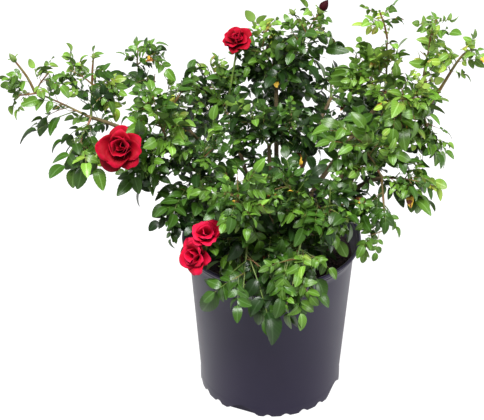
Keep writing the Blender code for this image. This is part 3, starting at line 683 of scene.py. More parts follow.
def grow_spray(name, stem, reach, tone):
    """A spray: its stem, side twigs and fine twigs, and leaves on all of them."""
    rng, habit = random.Random(name), HABITS.get(name, USUAL)
    reach *= habit.share
    last = len(stem) - 1
    thick = STEM_R * (STRONG_STEM if habit.bare >= STRONG_FROM else 1.0)
    radii = [thick * (1.0 - STEM_TAPER * i / last) for i in range(last + 1)]
    stalks["red" if tone > RED_STEM_FROM else "green"].append((stem, radii))
    twigs = side_twigs(rng, stem, reach, habit.sides, habit.bare)
    twigs += side_twigs(rng, stem, reach * FINE_SHARE, habit.fines, habit.bare)
    grown = leaf_out(rng, stem, stem, reach * FARTHEST, tone, habit.bare, habit.size)
    return grown + leafy_twigs(rng, twigs, stem, reach * FARTHEST, tone, habit.size, ("green", "red"))


spray_leaves = 0
for rows in SPRAYS.values():
    for name, _, _, _, reach, tone in rows:
        spray_leaves += grow_spray(name, stems[name], reach * MM, tone)
print("compound leaves on the sprays:", spray_leaves)

# %% Leaves on limbs and flower stems
INNER_FROM = 0.64
INNER_REACH = 50.0 * MM
INNER_TONE = 0.20
INNER_TWIGS = 1
INNER_BARE = 0.15
FLOWER_LEAVES_TO = -2
FLOWER_REACH = 60.0 * MM
FLOWER_SIZE, FLOWER_TONE = 0.85, 0.35


def leaf_limb(name, path):
    """Old dark leaves and a short side twig on the upper part of a limb, inside the crown."""
    rng = random.Random(name)
    upper = path[int(INNER_FROM * len(path)):]
    grown = leaf_out(rng, upper, upper, INNER_REACH * FARTHEST, INNER_TONE, 0.0)
    twigs = side_twigs(rng, upper, INNER_REACH, INNER_TWIGS, INNER_BARE)
    return grown + leafy_twigs(rng, twigs, upper, INNER_REACH * FARTHEST, INNER_TONE, 1.0, ("green",))


def leaf_flower_stem(name):
    """The few leaves that stand on a flower's stem, below the flower."""
    below = stems[name][:FLOWER_LEAVES_TO]
    rng = random.Random(f"{name} stem")
    return leaf_out(rng, below, below, FLOWER_REACH, FLOWER_TONE, INNER_BARE, FLOWER_SIZE)


inner_leaves = sum(leaf_limb(name, path) for name, (path, _, _) in limbs.items())
flower_leaves = sum(leaf_flower_stem(bloom.name) for bloom in BLOOMS)
print("compound leaves inside the crown:", inner_leaves, "and under the flowers:", flower_leaves)

# %% Shoots
SHOOT_TAPER = (1.0, 0.9, 0.7)
SHOOT_BOW = 0.12
SHOOT_LEAVES_FROM, SHOOT_LEAVES_OVER = 0.35, 0.63
SHOOT_LEAN = 0.7
SHOOT_SIZE = (0.60, 0.95)
SHOOT_TONES = (0.5, 1.0)

# Each shoot runs on from the tip of a spray's stem: how far sideways and up and its thickness in mm, its
# number of leaves, its bud's length in mm, the share of the bud that shows petals, and the tone of its
# palest leaves.
Shoot = namedtuple("Shoot", "stem sideways up thick leaves bud furled palest", defaults=(0, 0.0, 0.84))
SHOOTS = (
    Shoot("leaves_far_left", -25, 52, 2.2, 2, 16),
    Shoot("leaves_far_left", -32, -4, 1.6, 4),
    Shoot("leaves_far_left", 22, 34, 1.4, 6),
    Shoot("leaves_left_high", -32, 24, 1.4, 7),
    Shoot("leaves_left_high", 34, -8, 1.2, 8),
    Shoot("leaves_left_high", 4, 42, 1.8, 3, 10, palest=0.66),
    Shoot("leaves_left_middle", -26, 24, 1.2, 7, palest=0.60),
    Shoot("leaves_left_middle", -7, 42, 1.2, 6, palest=0.60),
    Shoot("leaves_left_crest", 2, 26, 1.3, 5, palest=0.60),
    Shoot("leaves_left_crest", 30, 22, 1.3, 6, palest=0.54),
    Shoot("leaves_centre_left_high", 16, 27, 1.2, 8),
    Shoot("leaves_top_left", 6, 28, 1.2, 8),
    Shoot("leaves_top_right", 17, 36, 1.3, 3, 20, 0.6),
    Shoot("leaves_top_right", -20, 34, 1.0, 0, 14),
    Shoot("leaves_top_right", 24, 16, 1.0, 4),
    Shoot("leaves_right_shoulder", 12, 36, 1.2, 7),
    Shoot("leaves_right_crest", -13, 44, 1.6, 6, 5),
    Shoot("leaves_right_top", 8, 36, 1.8, 5),
    Shoot("leaves_right_tip", 12, 8, 1.6, 3),
    Shoot("leaves_right_inner", 16, 4, 1.0, 6),
    Shoot("leaves_low_right", -26, -12, 1.0, 7),
)


def grow_shoot(shoot):
    """A strong shoot past the crown, with young leaves towards its end. Returns its end and its way there."""
    rng = random.Random(f"{shoot.stem} {shoot.sideways}")
    start = stems[shoot.stem][-1]
    end = start + Vector((shoot.sideways, 0.0, shoot.up)) * MM
    bend = start.lerp(end, 0.5) - Vector((shoot.sideways, 0.0, 0.0)) * SHOOT_BOW * MM
    path = [start, bend, end]
    stalks["red"].append((path, [shoot.thick * taper * MM for taper in SHOOT_TAPER]))
    for i in range(shoot.leaves):
        root, axis = along_path(path, SHOOT_LEAVES_FROM + SHOOT_LEAVES_OVER * i / shoot.leaves)
        way = (axis * SHOOT_LEAN + round_from(axis, TURN * i)).normalized()
        face, size = leaf_face(rng, root), rng.uniform(*SHOOT_SIZE)
        compound_leaf(rng, root, way, face, size, shoot.palest * rng.uniform(*SHOOT_TONES))
    return end, (end - bend).normalized()


shoot_ends = [grow_shoot(shoot) for shoot in SHOOTS]
print("leaflets of each tint:", {tint: len(found) for tint, found in leaflets.items()})

# %% [markdown]
# ## One leaflet, in three shapes
#
# A leaflet is egg-shaped, folded a little along its midrib, curled towards its tip and finely toothed.
# Its shape is the same rule three times with another fold and curl, so that no two neighbours look alike.
# The upper face carries the teeth, and the underside is a simpler sheet just below it, because the eye only
# reads its paler colour. Both stay at a few dozen faces, as there are thousands of leaflets.

# %% Leaflet outline
HALF_WIDE = 0.33
WIDEST_LOW, BLUNT = 0.92, 0.58
CUP, ARCH = 0.7, 0.04


def half_width(share):
    """Half the leaflet's width at a share of its length."""
    return HALF_WIDE * math.sin(math.pi * share**WIDEST_LOW) ** BLUNT if 0.0 < share < 1.0 else 0.0


def on_leaflet(share, across, fold, curl, drop=0.0):
    """A point of the leaflet: along its length, across it, folded up and curled down."""
    lift = abs(across) * fold - CUP * across**2 - curl * share**2 + ARCH * math.sin(math.pi * share)
    return Vector((across, share, lift - drop))


print("half a leaflet's width along it:", [round(half_width(i / 4), 2) for i in range(5)])

# %% Leaflet shapes
TEETH = 8
TOOTH_AT, TOOTH_OUT = 0.80, 1.06
UNDER_STEPS, UNDER_GAP = 4, 0.012
# How far each shape is folded up along its midrib, and curled down towards its tip.
LEAFLET_BENDS = ((0.40, 0.30), (0.70, 0.48), (0.28, 0.68))


def leaflet_sheet(fold, curl, under):
    """A leaflet of length 1 along +Y: its toothed upper face, or its plain underside that looks down."""
    steps, drop = (UNDER_STEPS, UNDER_GAP) if under else (TEETH, 0.0)
    verts = [on_leaflet(i / steps, 0.0, fold, curl, drop) for i in range(steps + 1)]
    faces = []
    for sign in (-1, 1):
        edge = [0]
        for i in range(1, steps):
            verts.append(on_leaflet(i / steps, sign * half_width(i / steps), fold, curl, drop))
            edge.append(len(verts) - 1)
        edge.append(steps)
        half = []
        for i in range(steps):
            half.append((i, edge[i], edge[i + 1], i + 1))
            if not under:
                share = (i + TOOTH_AT) / steps
                verts.append(on_leaflet(share, sign * half_width(share) * TOOTH_OUT, fold, curl))
                half.append((edge[i], len(verts) - 1, edge[i + 1]))
        turned_over = (sign < 0) != under
        faces += [face[::-1] if turned_over else face for face in half]
    return verts, [tuple(dict.fromkeys(face)) for face in faces]


def leaflet_shape(name, fold, curl, under):
    """A leaflet with its map, kept out of the scene, for a tree to put on every point."""
    verts, faces = leaflet_sheet(fold, curl, under)
    shape = hidden_shape(name, verts, faces)
    chart = shape.data.uv_layers.new(name="leaf_map")
    for loop in shape.data.loops:
        place = verts[loop.vertex_index]
        chart.data[loop.index].uv = (0.5 + place.x / (2 * HALF_WIDE * TOOTH_OUT), place.y)
    return shape


upper_shapes = [leaflet_shape(f"upper_{i}", *bend, False) for i, bend in enumerate(LEAFLET_BENDS)]
under_shapes = [leaflet_shape(f"under_{i}", *bend, True) for i, bend in enumerate(LEAFLET_BENDS)]
print("faces in a leaflet:", len(upper_shapes[0].data.polygons), "+", len(under_shapes[0].data.polygons))

# %% [markdown]
# ## A tree that puts leaflets on points
#
# Thousands of leaflets share three shapes, so a Geometry Nodes tree is the right tool: the rule's numbers
# become points with attributes, and the tree turns a shape to each point's two directions, scales it and
# gives it its finish. The instances are realised at the end, so what is kept is one plain mesh.


# %% Geometry Nodes helpers
def node_group(name, inputs):
    """A Geometry Nodes tree with named inputs, and its first and last nodes."""
    tree = bpy.data.node_groups.new(name, "GeometryNodeTree")
    tree.interface.new_socket("Geometry", in_out="INPUT", socket_type="NodeSocketGeometry")
    for label, kind, value in inputs:
        socket = tree.interface.new_socket(label, in_out="INPUT", socket_type=kind)
        if value is not None:
            socket.default_value = value
    tree.interface.new_socket("Geometry", in_out="OUTPUT", socket_type="NodeSocketGeometry")
    return tree, add(tree, "NodeGroupInput", out=None), add(tree, "NodeGroupOutput", out=None)


def pick_of(tree, shapes):
    """Hidden shapes side by side as instances, for a tree to pick from."""
    choice = add(tree, "GeometryNodeJoinGeometry", out=None)
    for shape in shapes:
        info = add(tree, "GeometryNodeObjectInfo", {"Object": shape, "As Instance": True}, out="Geometry")
        tree.links.new(info, choice.inputs[0])
    return choice.outputs[0]


def dressed(tree, geometry, finish):
    """The last steps of a tree: real geometry in place of instances, and its finish."""
    real = add(tree, "GeometryNodeRealizeInstances", {"Geometry": geometry})
    return add(tree, "GeometryNodeSetMaterial", {"Geometry": real, "Material": finish})


def grown_piece(name, seed_mesh, tree, values):
    """Runs a tree on a mesh and keeps what it makes as a plain mesh object."""
    piece = bpy.data.objects.new(name, seed_mesh)
    bpy.context.scene.collection.objects.link(piece)
    modifier = piece.modifiers.new("grow", "NODES")
    modifier.node_group = tree
    for item in tree.interface.items_tree:
        if item.in_out == "INPUT" and item.name in values:
            modifier[item.identifier] = values[item.name]
    graph = bpy.context.evaluated_depsgraph_get()
    grown = piece.evaluated_get(graph)
    piece.data = bpy.data.meshes.new_from_object(grown, preserve_all_data_layers=True, depsgraph=graph)
    piece.modifiers.clear()
    return piece


print("helpers for trees: node_group, pick_of, dressed, grown_piece")


# %% Leaflet tree
def leaflet_tree():
    """Leaflets on points: an upper and an under sheet on each, by the points' own directions."""
    inputs = (("Upper finish", "NodeSocketMaterial", None), ("Under finish", "NodeSocketMaterial", None))
    tree, start, end = node_group("leaflets on points", inputs + (("Size", "NodeSocketFloat", 1.0),))

    def named(label, kind):
        return add(tree, "GeometryNodeInputNamedAttribute", {"Name": label}, data_type=kind)

    axes = {"Primary Axis": named("face", "FLOAT_VECTOR"), "Secondary Axis": named("along", "FLOAT_VECTOR")}
    long = {0: named("long", "FLOAT"), 1: start.outputs["Size"]}
    spots = {
        "Points": start.outputs["Geometry"],
        "Pick Instance": True,
        "Instance Index": named("shape", "INT"),
        "Rotation": add(tree, "FunctionNodeAxesToRotation", axes, primary_axis="Z", secondary_axis="Y"),
        "Scale": add(tree, "ShaderNodeMath", long, operation="MULTIPLY"),
    }
    both = add(tree, "GeometryNodeJoinGeometry", out=None)
    for shapes, finish in ((under_shapes, "Under finish"), (upper_shapes, "Upper finish")):
        placed = add(tree, "GeometryNodeInstanceOnPoints", {**spots, "Instance": pick_of(tree, shapes)})
        tree.links.new(dressed(tree, placed, start.outputs[finish]), both.inputs[0])
    tree.links.new(both.outputs[0], end.inputs[0])
    return tree


def point_mesh(name, rows):
    """A mesh of bare points that carry a leaflet's directions, length, shape and shade."""
    mesh = bpy.data.meshes.new(name)
    mesh.from_pydata([row[0] for row in rows], [], [])
    kinds = {"along": "FLOAT_VECTOR", "face": "FLOAT_VECTOR"}
    kinds.update({"long": "FLOAT", "shape": "INT", "shade": "FLOAT"})
    for column, (label, kind) in enumerate(kinds.items(), start=1):
        layer = mesh.attributes.new(label, kind, "POINT")
        field = "vector" if kind == "FLOAT_VECTOR" else "value"
        layer.data.foreach_set(field, np.array([row[column] for row in rows]).ravel())
    return mesh


LEAFLETS = leaflet_tree()
print("tree:", LEAFLETS.name, "with", len(LEAFLETS.nodes), "nodes")

# %% [markdown]
# ## How the finishes are built
#
# Nearly everything on this plant is two colours that run into each other over a few millimetres, with a
# fine relief that also makes it rougher or glossier. An image would have to be painted and wrapped on each
# piece. A noise on the piece's own coordinates needs neither, and its size is a real one.


# %% Finish helpers
def new_finish(name, colour, values=None):
    """A material with its shader's own values set, its node tree and its shader."""
    made = bpy.data.materials.new(name)
    made.use_nodes = True
    shader = made.node_tree.nodes["Principled BSDF"]
    wire(made.node_tree, shader, {"Base Color": linear(colour), **(values or {})})
    return made, made.node_tree, shader


def grain(tree, size, detail):
    """A noise on the piece's own place, with lumps of about a real size."""
    place = add(tree, "ShaderNodeTexCoord", out="Object")
    return add(tree, "ShaderNodeTexNoise", {"Vector": place, "Scale": 1.0 / size, "Detail": detail})


def two_tone(tree, value, low, high, first, second, most=1.0):
    """A first colour that turns into a second, or most of it, while a value goes from low to high."""
    # A colour mix has its factor at socket 0, its colours at 6 and 7, and its result at output 2.
    turn = {"Value": value, "From Min": low, "From Max": high, "To Max": most}
    share = add(tree, "ShaderNodeMapRange", turn)
    tones = [linear(tone) if isinstance(tone, str) else tone for tone in (first, second)]
    return add(tree, "ShaderNodeMix", {0: share, 6: tones[0], 7: tones[1]}, out=2, data_type="RGBA")


def skin(tree, shader, colour, relief, depth, smooth, rough, wear=None):
    """Plugs in a colour, a relief with a real depth, and a roughness that goes up with the relief or wear."""
    worn = relief if wear is None else wear
    gloss = add(tree, "ShaderNodeMapRange", {"Value": worn, "To Min": smooth, "To Max": rough})
    bump = add(tree, "ShaderNodeBump", {"Height": relief, "Distance": depth})
    wire(tree, shader, {"Base Color": colour, "Roughness": gloss, "Normal": bump})


print("helpers for finishes: grain, two_tone, skin")

# %% [markdown]
# ## Finishes for the leaves
#
# A rose leaf has a waxy skin over soft green tissue, so it is dull green under a clear, slightly rough
# gloss. Old leaves are blue-green and dark, new growth is yellow-green with a bronze flush, and the
# underside has no wax and looks pale and matt; its greens are made paler still by painted light shining
# through the leaf. Five plain greens, dealt out by spray, carry that better than any pattern. Each leaflet
# also has a shade of its own, and its midrib and side veins are drawn on its map.

# %% Leaf greens and veins
LEAF_GREENS = {"dark": "19300e", "deep": "2c4b10", "mid": "466919", "light": "5c8028", "lime": "7f9c2f"}
UNDER_GREENS_AND_GLOW = {"dark": "38502a", "deep": "476432", "mid": "5c7b36", "light": "769840", "lime": "98b450"}
# The underside greens: pale as an underside without wax is, and paler still with painted light that shines
# through the leaf.
BRONZE = "7d5520"
FLUSHED = {"light": 0.25, "lime": 0.75}
FLUSH_SIZE = 18.0 * MM
DARKEST, BRIGHTEST = 0.64, 1.40
RIB_HALF, RIB_PALE = 0.075, 0.80
VEIN_PAIRS, VEIN_SLANT = 7, 0.9
VEIN_FROM, VEIN_PALE = 0.55, 0.22
LEAF_IOR = 1.45


def leaf_veins(tree):
    """Lines on a leaflet's map: its midrib, and fainter side veins that slant to its tip."""
    chart = add(tree, "ShaderNodeUVMap", uv_map="leaf_map")
    split = add(tree, "ShaderNodeSeparateXYZ", {0: chart}, out=None)
    off = add(tree, "ShaderNodeMath", {0: split.outputs[0], 1: 0.5}, operation="SUBTRACT")
    away = add(tree, "ShaderNodeMath", {0: off}, operation="ABSOLUTE")
    fade = {"Value": away, "From Max": RIB_HALF, "To Min": RIB_PALE, "To Max": 0.0}
    rib = add(tree, "ShaderNodeMapRange", fade)
    slanted = {0: away, 1: -VEIN_SLANT, 2: split.outputs[1]}
    slant = add(tree, "ShaderNodeMath", slanted, operation="MULTIPLY_ADD")
    wave = add(tree, "ShaderNodeMath", {0: slant, 1: 2 * math.pi * VEIN_PAIRS}, operation="MULTIPLY")
    ripple = add(tree, "ShaderNodeMath", {0: wave}, operation="SINE")
    vein = add(tree, "ShaderNodeMapRange", {"Value": ripple, "From Min": VEIN_FROM, "To Max": VEIN_PALE})
    return add(tree, "ShaderNodeMath", {0: rib, 1: vein}, operation="MAXIMUM")


def leaf_green(tree, green):
    """A green that is darker or brighter from leaflet to leaflet, by each one's own shade."""
    shade = add(tree, "ShaderNodeAttribute", out="Fac", attribute_name="shade")
    value = add(tree, "ShaderNodeMapRange", {"Value": shade, "To Min": DARKEST, "To Max": BRIGHTEST})
    return add(tree, "ShaderNodeHueSaturation", {"Value": value, "Color": linear(green)})


print("greens, from the oldest leaves to the youngest:", *LEAF_GREENS)


# %% Leaf finishes
LEAF_GLOSS, LEAF_ROUGH = 0.34, (0.30, 0.42)
FLUSH_EDGE = (0.50, 0.68)
RIB_BRIGHTER, RIB_SATURATION = 2.1, 0.80
VEIN_DEEP = 0.15 * MM
UNDER_GLOSS, UNDER_ROUGH = 0.25, (0.55, 0.68)
DOWN_SIZE, DOWN_DEEP = 2.0 * MM, 0.05 * MM
WITHERED_GLOSS, WITHERED_ROUGH = 0.30, (0.55, 0.75)
BLOTCH_SIZE, BLOTCH_DEEP, BLOTCH_EDGE = 9.0 * MM, 0.4 * MM, (0.46, 0.52)


def leaf_finish(tint):
    """Rose leaf, waxy: a clear satin gloss over green, with a pale midrib and veins."""
    wax = {"IOR": LEAF_IOR, "Specular IOR Level": LEAF_GLOSS}
    made, tree, shader = new_finish(f"rose leaf, waxy, {tint}", LEAF_GREENS[tint], wax)
    tone = leaf_green(tree, LEAF_GREENS[tint])
    if tint in FLUSHED:
        tone = two_tone(tree, grain(tree, FLUSH_SIZE, 3.0), *FLUSH_EDGE, tone, BRONZE, FLUSHED[tint])
    lines = leaf_veins(tree)
    paler = {"Value": RIB_BRIGHTER, "Saturation": RIB_SATURATION, "Color": tone}
    pale = add(tree, "ShaderNodeHueSaturation", paler)
    skin(tree, shader, two_tone(tree, lines, 0.0, 1.0, tone, pale), lines, VEIN_DEEP, *LEAF_ROUGH)
    return made


def underside_finish(tint):
    """Rose leaf, underside: no wax, so it looks paler and matt, with a faint down, and its green also carries
    painted light shining through the leaf.
    """
    bare = {"IOR": LEAF_IOR, "Specular IOR Level": UNDER_GLOSS}
    made, tree, shader = new_finish(f"rose leaf, underside, {tint}", UNDER_GREENS_AND_GLOW[tint], bare)
    down = grain(tree, DOWN_SIZE, 2.0)
    skin(tree, shader, leaf_green(tree, UNDER_GREENS_AND_GLOW[tint]), down, DOWN_DEEP, *UNDER_ROUGH)
    return made


def withered_finish():
    """Rose leaf, withered: dry yellow with brown blotches about a centimetre wide."""
    dry = {"Specular IOR Level": WITHERED_GLOSS}
    made, tree, shader = new_finish("rose leaf, withered", "c9a83a", dry)
    blotch = grain(tree, BLOTCH_SIZE, 3.0)
    tone = two_tone(tree, blotch, *BLOTCH_EDGE, "d0a93a", "5c2f12")
    skin(tree, shader, tone, blotch, BLOTCH_DEEP, *WITHERED_ROUGH)
    return made


withered = withered_finish()
leaf_finishes = {tint: (leaf_finish(tint), underside_finish(tint)) for tint in TINTS}
leaf_finishes["yellowed"] = (withered, withered)
print("leaf finishes:", len(leaf_finishes))

# %% Leaves
for tint, (upper, under) in leaf_finishes.items():
    points = point_mesh(f"leaf points {tint}", leaflets[tint])
    values = {"Upper finish": upper, "Under finish": under}
    finish_piece(grown_piece(f"leaves_{tint}", points, LEAFLETS, values), "leaves", *SPRAY_NODES)

# %% [markdown]
# ## Stalks, twigs and canes
#
# Everything long and thin follows a path. Bevelled curves could do it, but they taper badly and stay
# curves. One tree makes them all: it turns each path into a smooth curve, gives it its thickness and runs a
# ring along it. Canes get more sides and a bark relief, which pushes the surface in and out by a few
# tenths of a millimetre, and green twigs stay smooth.


# %% Stalk tree
def stalk_tree():
    """Round stalks along paths, with a relief pushed into their surface."""
    inputs = (
        ("Finish", "NodeSocketMaterial", None),
        ("Sides", "NodeSocketInt", 4),
        ("Step", "NodeSocketFloat", 8.0 * MM),
        ("Relief", "NodeSocketFloat", 0.0),
        ("Relief size", "NodeSocketFloat", 6.0 * MM),
    )
    tree, start, end = node_group("stalks on paths", inputs)
    line = add(tree, "GeometryNodeMeshToCurve", {"Mesh": start.outputs["Geometry"]})
    smooth = add(tree, "GeometryNodeCurveSplineType", {"Curve": line}, spline_type="CATMULL_ROM")
    spacing = {"Curve": smooth, "Length": start.outputs["Step"]}
    spaced = add(tree, "GeometryNodeResampleCurve", spacing, mode="LENGTH")
    round_one = {"Resolution": start.outputs["Sides"], "Radius": 1.0}
    ring = add(tree, "GeometryNodeCurvePrimitiveCircle", round_one)
    thick = add(tree, "GeometryNodeInputNamedAttribute", {"Name": "thick"}, data_type="FLOAT")
    run = {"Curve": spaced, "Profile Curve": ring, "Scale": thick, "Fill Caps": True}
    tube = add(tree, "GeometryNodeCurveToMesh", run)
    fine = add(tree, "ShaderNodeMath", {0: 1.0, 1: start.outputs["Relief size"]}, operation="DIVIDE")
    place = add(tree, "GeometryNodeInputPosition")
    lumps = add(tree, "ShaderNodeTexNoise", {"Vector": place, "Scale": fine, "Detail": 3.0})
    push = add(tree, "ShaderNodeMath", {0: lumps, 1: 0.5}, operation="SUBTRACT")
    deep = add(tree, "ShaderNodeMath", {0: push, 1: start.outputs["Relief"]}, operation="MULTIPLY")
    normal = add(tree, "GeometryNodeInputNormal")
    shift = add(tree, "ShaderNodeVectorMath", {0: normal, "Scale": deep}, operation="SCALE")
    moved = add(tree, "GeometryNodeSetPosition", {"Geometry": tube, "Offset": shift})
    soft = add(tree, "GeometryNodeSetShadeSmooth", {"Geometry": moved})
    tree.links.new(dressed(tree, soft, start.outputs["Finish"]), end.inputs[0])
    return tree


def path_mesh(name, runs):
    """A mesh of bare paths, each point with its own thickness."""
    verts, edges, thick = [], [], []
    for path, radii in runs:
        edges += [(len(verts) + i, len(verts) + i + 1) for i in range(len(path) - 1)]
        verts += path
        thick += radii
    mesh = bpy.data.meshes.new(name)
    mesh.from_pydata(verts, edges, [])
    mesh.attributes.new("thick", "FLOAT", "POINT").data.foreach_set("value", thick)
    return mesh


STALKS = stalk_tree()
print("tree:", STALKS.name, "with", len(STALKS.nodes), "nodes")

# %% Bark, canes and twigs
BARK_PATCH, BARK_EDGE = 12, (0.85, 1.15)
BARK_DEEP = 0.2 * MM


def bark_finish(name, main, other, size, smooth, rough):
    """Rose bark or young skin: two colours in streaky patches, and a relief as fine as its grain."""
    made, tree, shader = new_finish(name, main)
    fine = grain(tree, size, 4.0)
    patches = add(tree, "ShaderNodeMath", {0: grain(tree, BARK_PATCH * size, 2.0), 1: fine}, operation="ADD")
    skin(tree, shader, two_tone(tree, patches, *BARK_EDGE, main, other), fine, BARK_DEEP, smooth, rough)
    return made


# Old canes are dry, grey-brown and matt. Twigs of this year have a thin green skin with a dull gloss, and
# the sun reddens some of them.
old = bark_finish("rose cane, grey-brown bark", "4a3b26", "5d5230", 1.6 * MM, 0.72, 0.88)
young = bark_finish("rose twig, green skin", "4f6b2a", "6a7a34", 1.2 * MM, 0.44, 0.56)
ruddy = bark_finish("rose twig, sun-reddened skin", "7a4a2c", "6b6a34", 1.2 * MM, 0.44, 0.56)

cane_mesh = path_mesh("cane paths", [(path, radii) for path, radii, _ in limbs.values()])
values = {"Finish": old, "Sides": 12, "Step": 3.0 * MM, "Relief": 1.2 * MM, "Relief size": 4.0 * MM}
canes = grown_piece("canes", cane_mesh, STALKS, values)
finish_piece(canes, "bark", *LIMB_OF)
for colour, finish in (("green", young), ("red", ruddy)):
    values = {"Finish": finish, "Sides": 4, "Step": 9.0 * MM}
    piece = grown_piece(f"twigs_{colour}", path_mesh(f"twig paths {colour}", stalks[colour]), STALKS, values)
    finish_piece(piece, "bark", *SPRAY_NODES)

# %% [markdown]
# ## Prickles
#
# Rose prickles are not true thorns: they are hooked outgrowths of the skin, with a long oval foot, and
# they snap off sideways. Placing dozens by hand would be dull and look even. One small hooked cone is
# scattered over the canes by a second tree instead, which picks random places on the surface and stands a
# prickle square to it.

# %% Prickle shape
PRICKLE_LONG = 4.5 * MM
PRICKLE_SIDES = 5
PRICKLE_OVAL = 0.6
# Each ring of the prickle, in its lengths: its height, its half length, and how far it hooks over.
PRICKLE_RINGS = ((0.0, 0.30, 0.0), (0.25, 0.17, 0.0), (0.62, 0.08, -0.07))
PRICKLE_TIP = (0.0, -0.22, 1.0)


def circle(sides):
    """Points evenly round a circle of radius 1."""
    return [(math.cos(2 * math.pi * k / sides), math.sin(2 * math.pi * k / sides)) for k in range(sides)]


def prickle_shape():
    """A hooked cone of length 1 along +Z with an oval foot."""
    sides = PRICKLE_SIDES
    verts = [(x * wide * PRICKLE_OVAL, y * wide + hook, height)
             for height, wide, hook in PRICKLE_RINGS for x, y in circle(sides)]
    faces = [(ring + k, ring + (k + 1) % sides, ring + sides + (k + 1) % sides, ring + sides + k)
             for ring in (0, sides) for k in range(sides)]
    faces += [(2 * sides + k, 2 * sides + (k + 1) % sides, 3 * sides) for k in range(sides)]
    return hidden_shape("prickle", verts + [PRICKLE_TIP], faces)


prickle = prickle_shape()
print("faces in a prickle:", len(prickle.data.polygons))


# %% Prickles on the canes
PRICKLE_TILT = 0.25
PRICKLES_PER_M2 = 3200.0


def scatter_tree(name, shapes, tilt):
    """Shapes scattered over a surface: square to it within a tilt, each with a turn and size of its own."""
    inputs = (
        ("Finish", "NodeSocketMaterial", None),
        ("Density", "NodeSocketFloat", 1000.0),
        ("Smallest", "NodeSocketFloat", 0.5),
        ("Largest", "NodeSocketFloat", 1.0),
        ("Seed", "NodeSocketInt", 1),
    )
    tree, start, end = node_group(name, inputs)

    def chance(kind, out, low, high):
        # The node has a pair of limits for each kind of value, from these sockets on.
        slot = {"FLOAT_VECTOR": 0, "FLOAT": 2, "INT": 4}[kind]
        limits = {slot: low, slot + 1: high, "Seed": start.outputs["Seed"]}
        return add(tree, "FunctionNodeRandomValue", limits, out=out, data_type=kind)

    ground = {"Mesh": start.outputs["Geometry"]}
    ground.update({label: start.outputs[label] for label in ("Density", "Seed")})
    spots = add(tree, "GeometryNodeDistributePointsOnFaces", ground, out=None)
    wild = chance("FLOAT_VECTOR", 0, (-tilt, -tilt, -math.pi), (tilt, tilt, math.pi))
    turn = add(tree, "FunctionNodeEulerToRotation", {0: wild})
    lean = {"Rotation": spots.outputs["Rotation"], "Rotate By": turn}
    copies = {
        "Points": spots.outputs["Points"],
        "Instance": pick_of(tree, shapes),
        "Pick Instance": True,
        "Instance Index": chance("INT", 2, 0, len(shapes) - 1),
        "Rotation": add(tree, "FunctionNodeRotateRotation", lean, rotation_space="LOCAL"),
        "Scale": chance("FLOAT", 1, start.outputs["Smallest"], start.outputs["Largest"]),
    }
    placed = add(tree, "GeometryNodeInstanceOnPoints", copies)
    tree.links.new(dressed(tree, placed, start.outputs["Finish"]), end.inputs[0])
    return tree


# Dry and brown, with no green left: each prickle dies at the end of its first summer.
hooked = bark_finish("rose prickle, dry", "6a4326", "8a6a3a", 0.8 * MM, 0.48, 0.62)
scatter = scatter_tree("prickles on canes", [prickle], PRICKLE_TILT)
values = {"Finish": hooked, "Density": PRICKLES_PER_M2, "Seed": 4}
values.update({"Smallest": PRICKLE_LONG / 2, "Largest": PRICKLE_LONG})
finish_piece(grown_piece("prickles", canes.data.copy(), scatter, values), "bark")

# %% [markdown]
# ## The root crown
#
# Years of pruning leave a knuckle of old wood at the soil, wider than any cane and lumpy where canes were
# cut away. It could be sculpted, but its solid is a turned lobed shape, so the same section is turned
# with more rings, and two sizes of noise give it its knots and bark.

# %% Root crown
CROWN_TOP = 47.5
CROWN_PROFILE = ((46.0, 5.5), (42.0, 11.0), (34.0, 15.0), (16.0, 15.5), (6.0, 18.5), (0.0, 23.0))
CROWN_SIDES = 40
CROWN_STEPS = 6
LOBES, LOBE_DEEP, LOBE_FADES, LOBE_TURN = 3, 0.10, 0.6, 0.6
KNOTS = ((11.0 * MM, 0.10), (3.0 * MM, 0.05))


def turned(profile, sides):
    """Vertices and faces of a surface turned from (radius, height) points, closed on the axis."""
    verts = [Vector((0.0, 0.0, profile[0][1]))]
    for radius, height in profile[1:-1]:
        verts += [Vector((radius * x, radius * y, height)) for x, y in circle(sides)]
    verts.append(Vector((0.0, 0.0, profile[-1][1])))
    last, low = len(verts) - 1, len(verts) - 1 - sides
    faces = []
    for k in range(sides):
        after = (k + 1) % sides
        faces.append((0, 1 + k, 1 + after))
        for ring in range(1, low, sides):
            faces.append((ring + k, ring + sides + k, ring + sides + after, ring + after))
        faces.append((last, low + after, low + k))
    return verts, faces


def root_crown(finish):
    """The knuckle of old wood: lobed, leaning and rough."""
    section = [(0.0, CROWN_TOP)]
    for (high, wide), (low, wider) in zip(CROWN_PROFILE, CROWN_PROFILE[1:]):
        shares = [i / CROWN_STEPS for i in range(CROWN_STEPS)]
        section += [(wide + (wider - wide) * share, high + (low - high) * share) for share in shares]
    section += [CROWN_PROFILE[-1][::-1], (0.0, 0.0)]
    verts, faces = turned([(radius * MM, height * MM) for radius, height in section], CROWN_SIDES)
    for v in verts:
        share = v.z / (CROWN_HIGH * MM)
        deep = LOBE_DEEP * (1.0 - LOBE_FADES * share)
        swell = 1.0 + deep * math.cos(LOBES * math.atan2(v.y, v.x) + LOBE_TURN)
        swell += sum(noise.noise(v / size) * rough for size, rough in KNOTS)
        v.x, v.y = v.x * swell, v.y * swell
        v += CROWN_LEAN * share + UP * MIX_TOP
    return mesh_piece("root_crown_bark", verts, faces, finish)


finish_piece(root_crown(old), "bark", "root_crown")

# %% [markdown]
# ## The pot
#
# A nursery pot is blown or moulded from thin black polypropylene: a slightly tapered wall, a rolled rim
# with a groove under it, and feet cut round its base so that water can run out. Turning one section gives
# all of it in one closed skin, and the gaps between the feet and the drain holes are cut out afterwards,
# as a punch would.

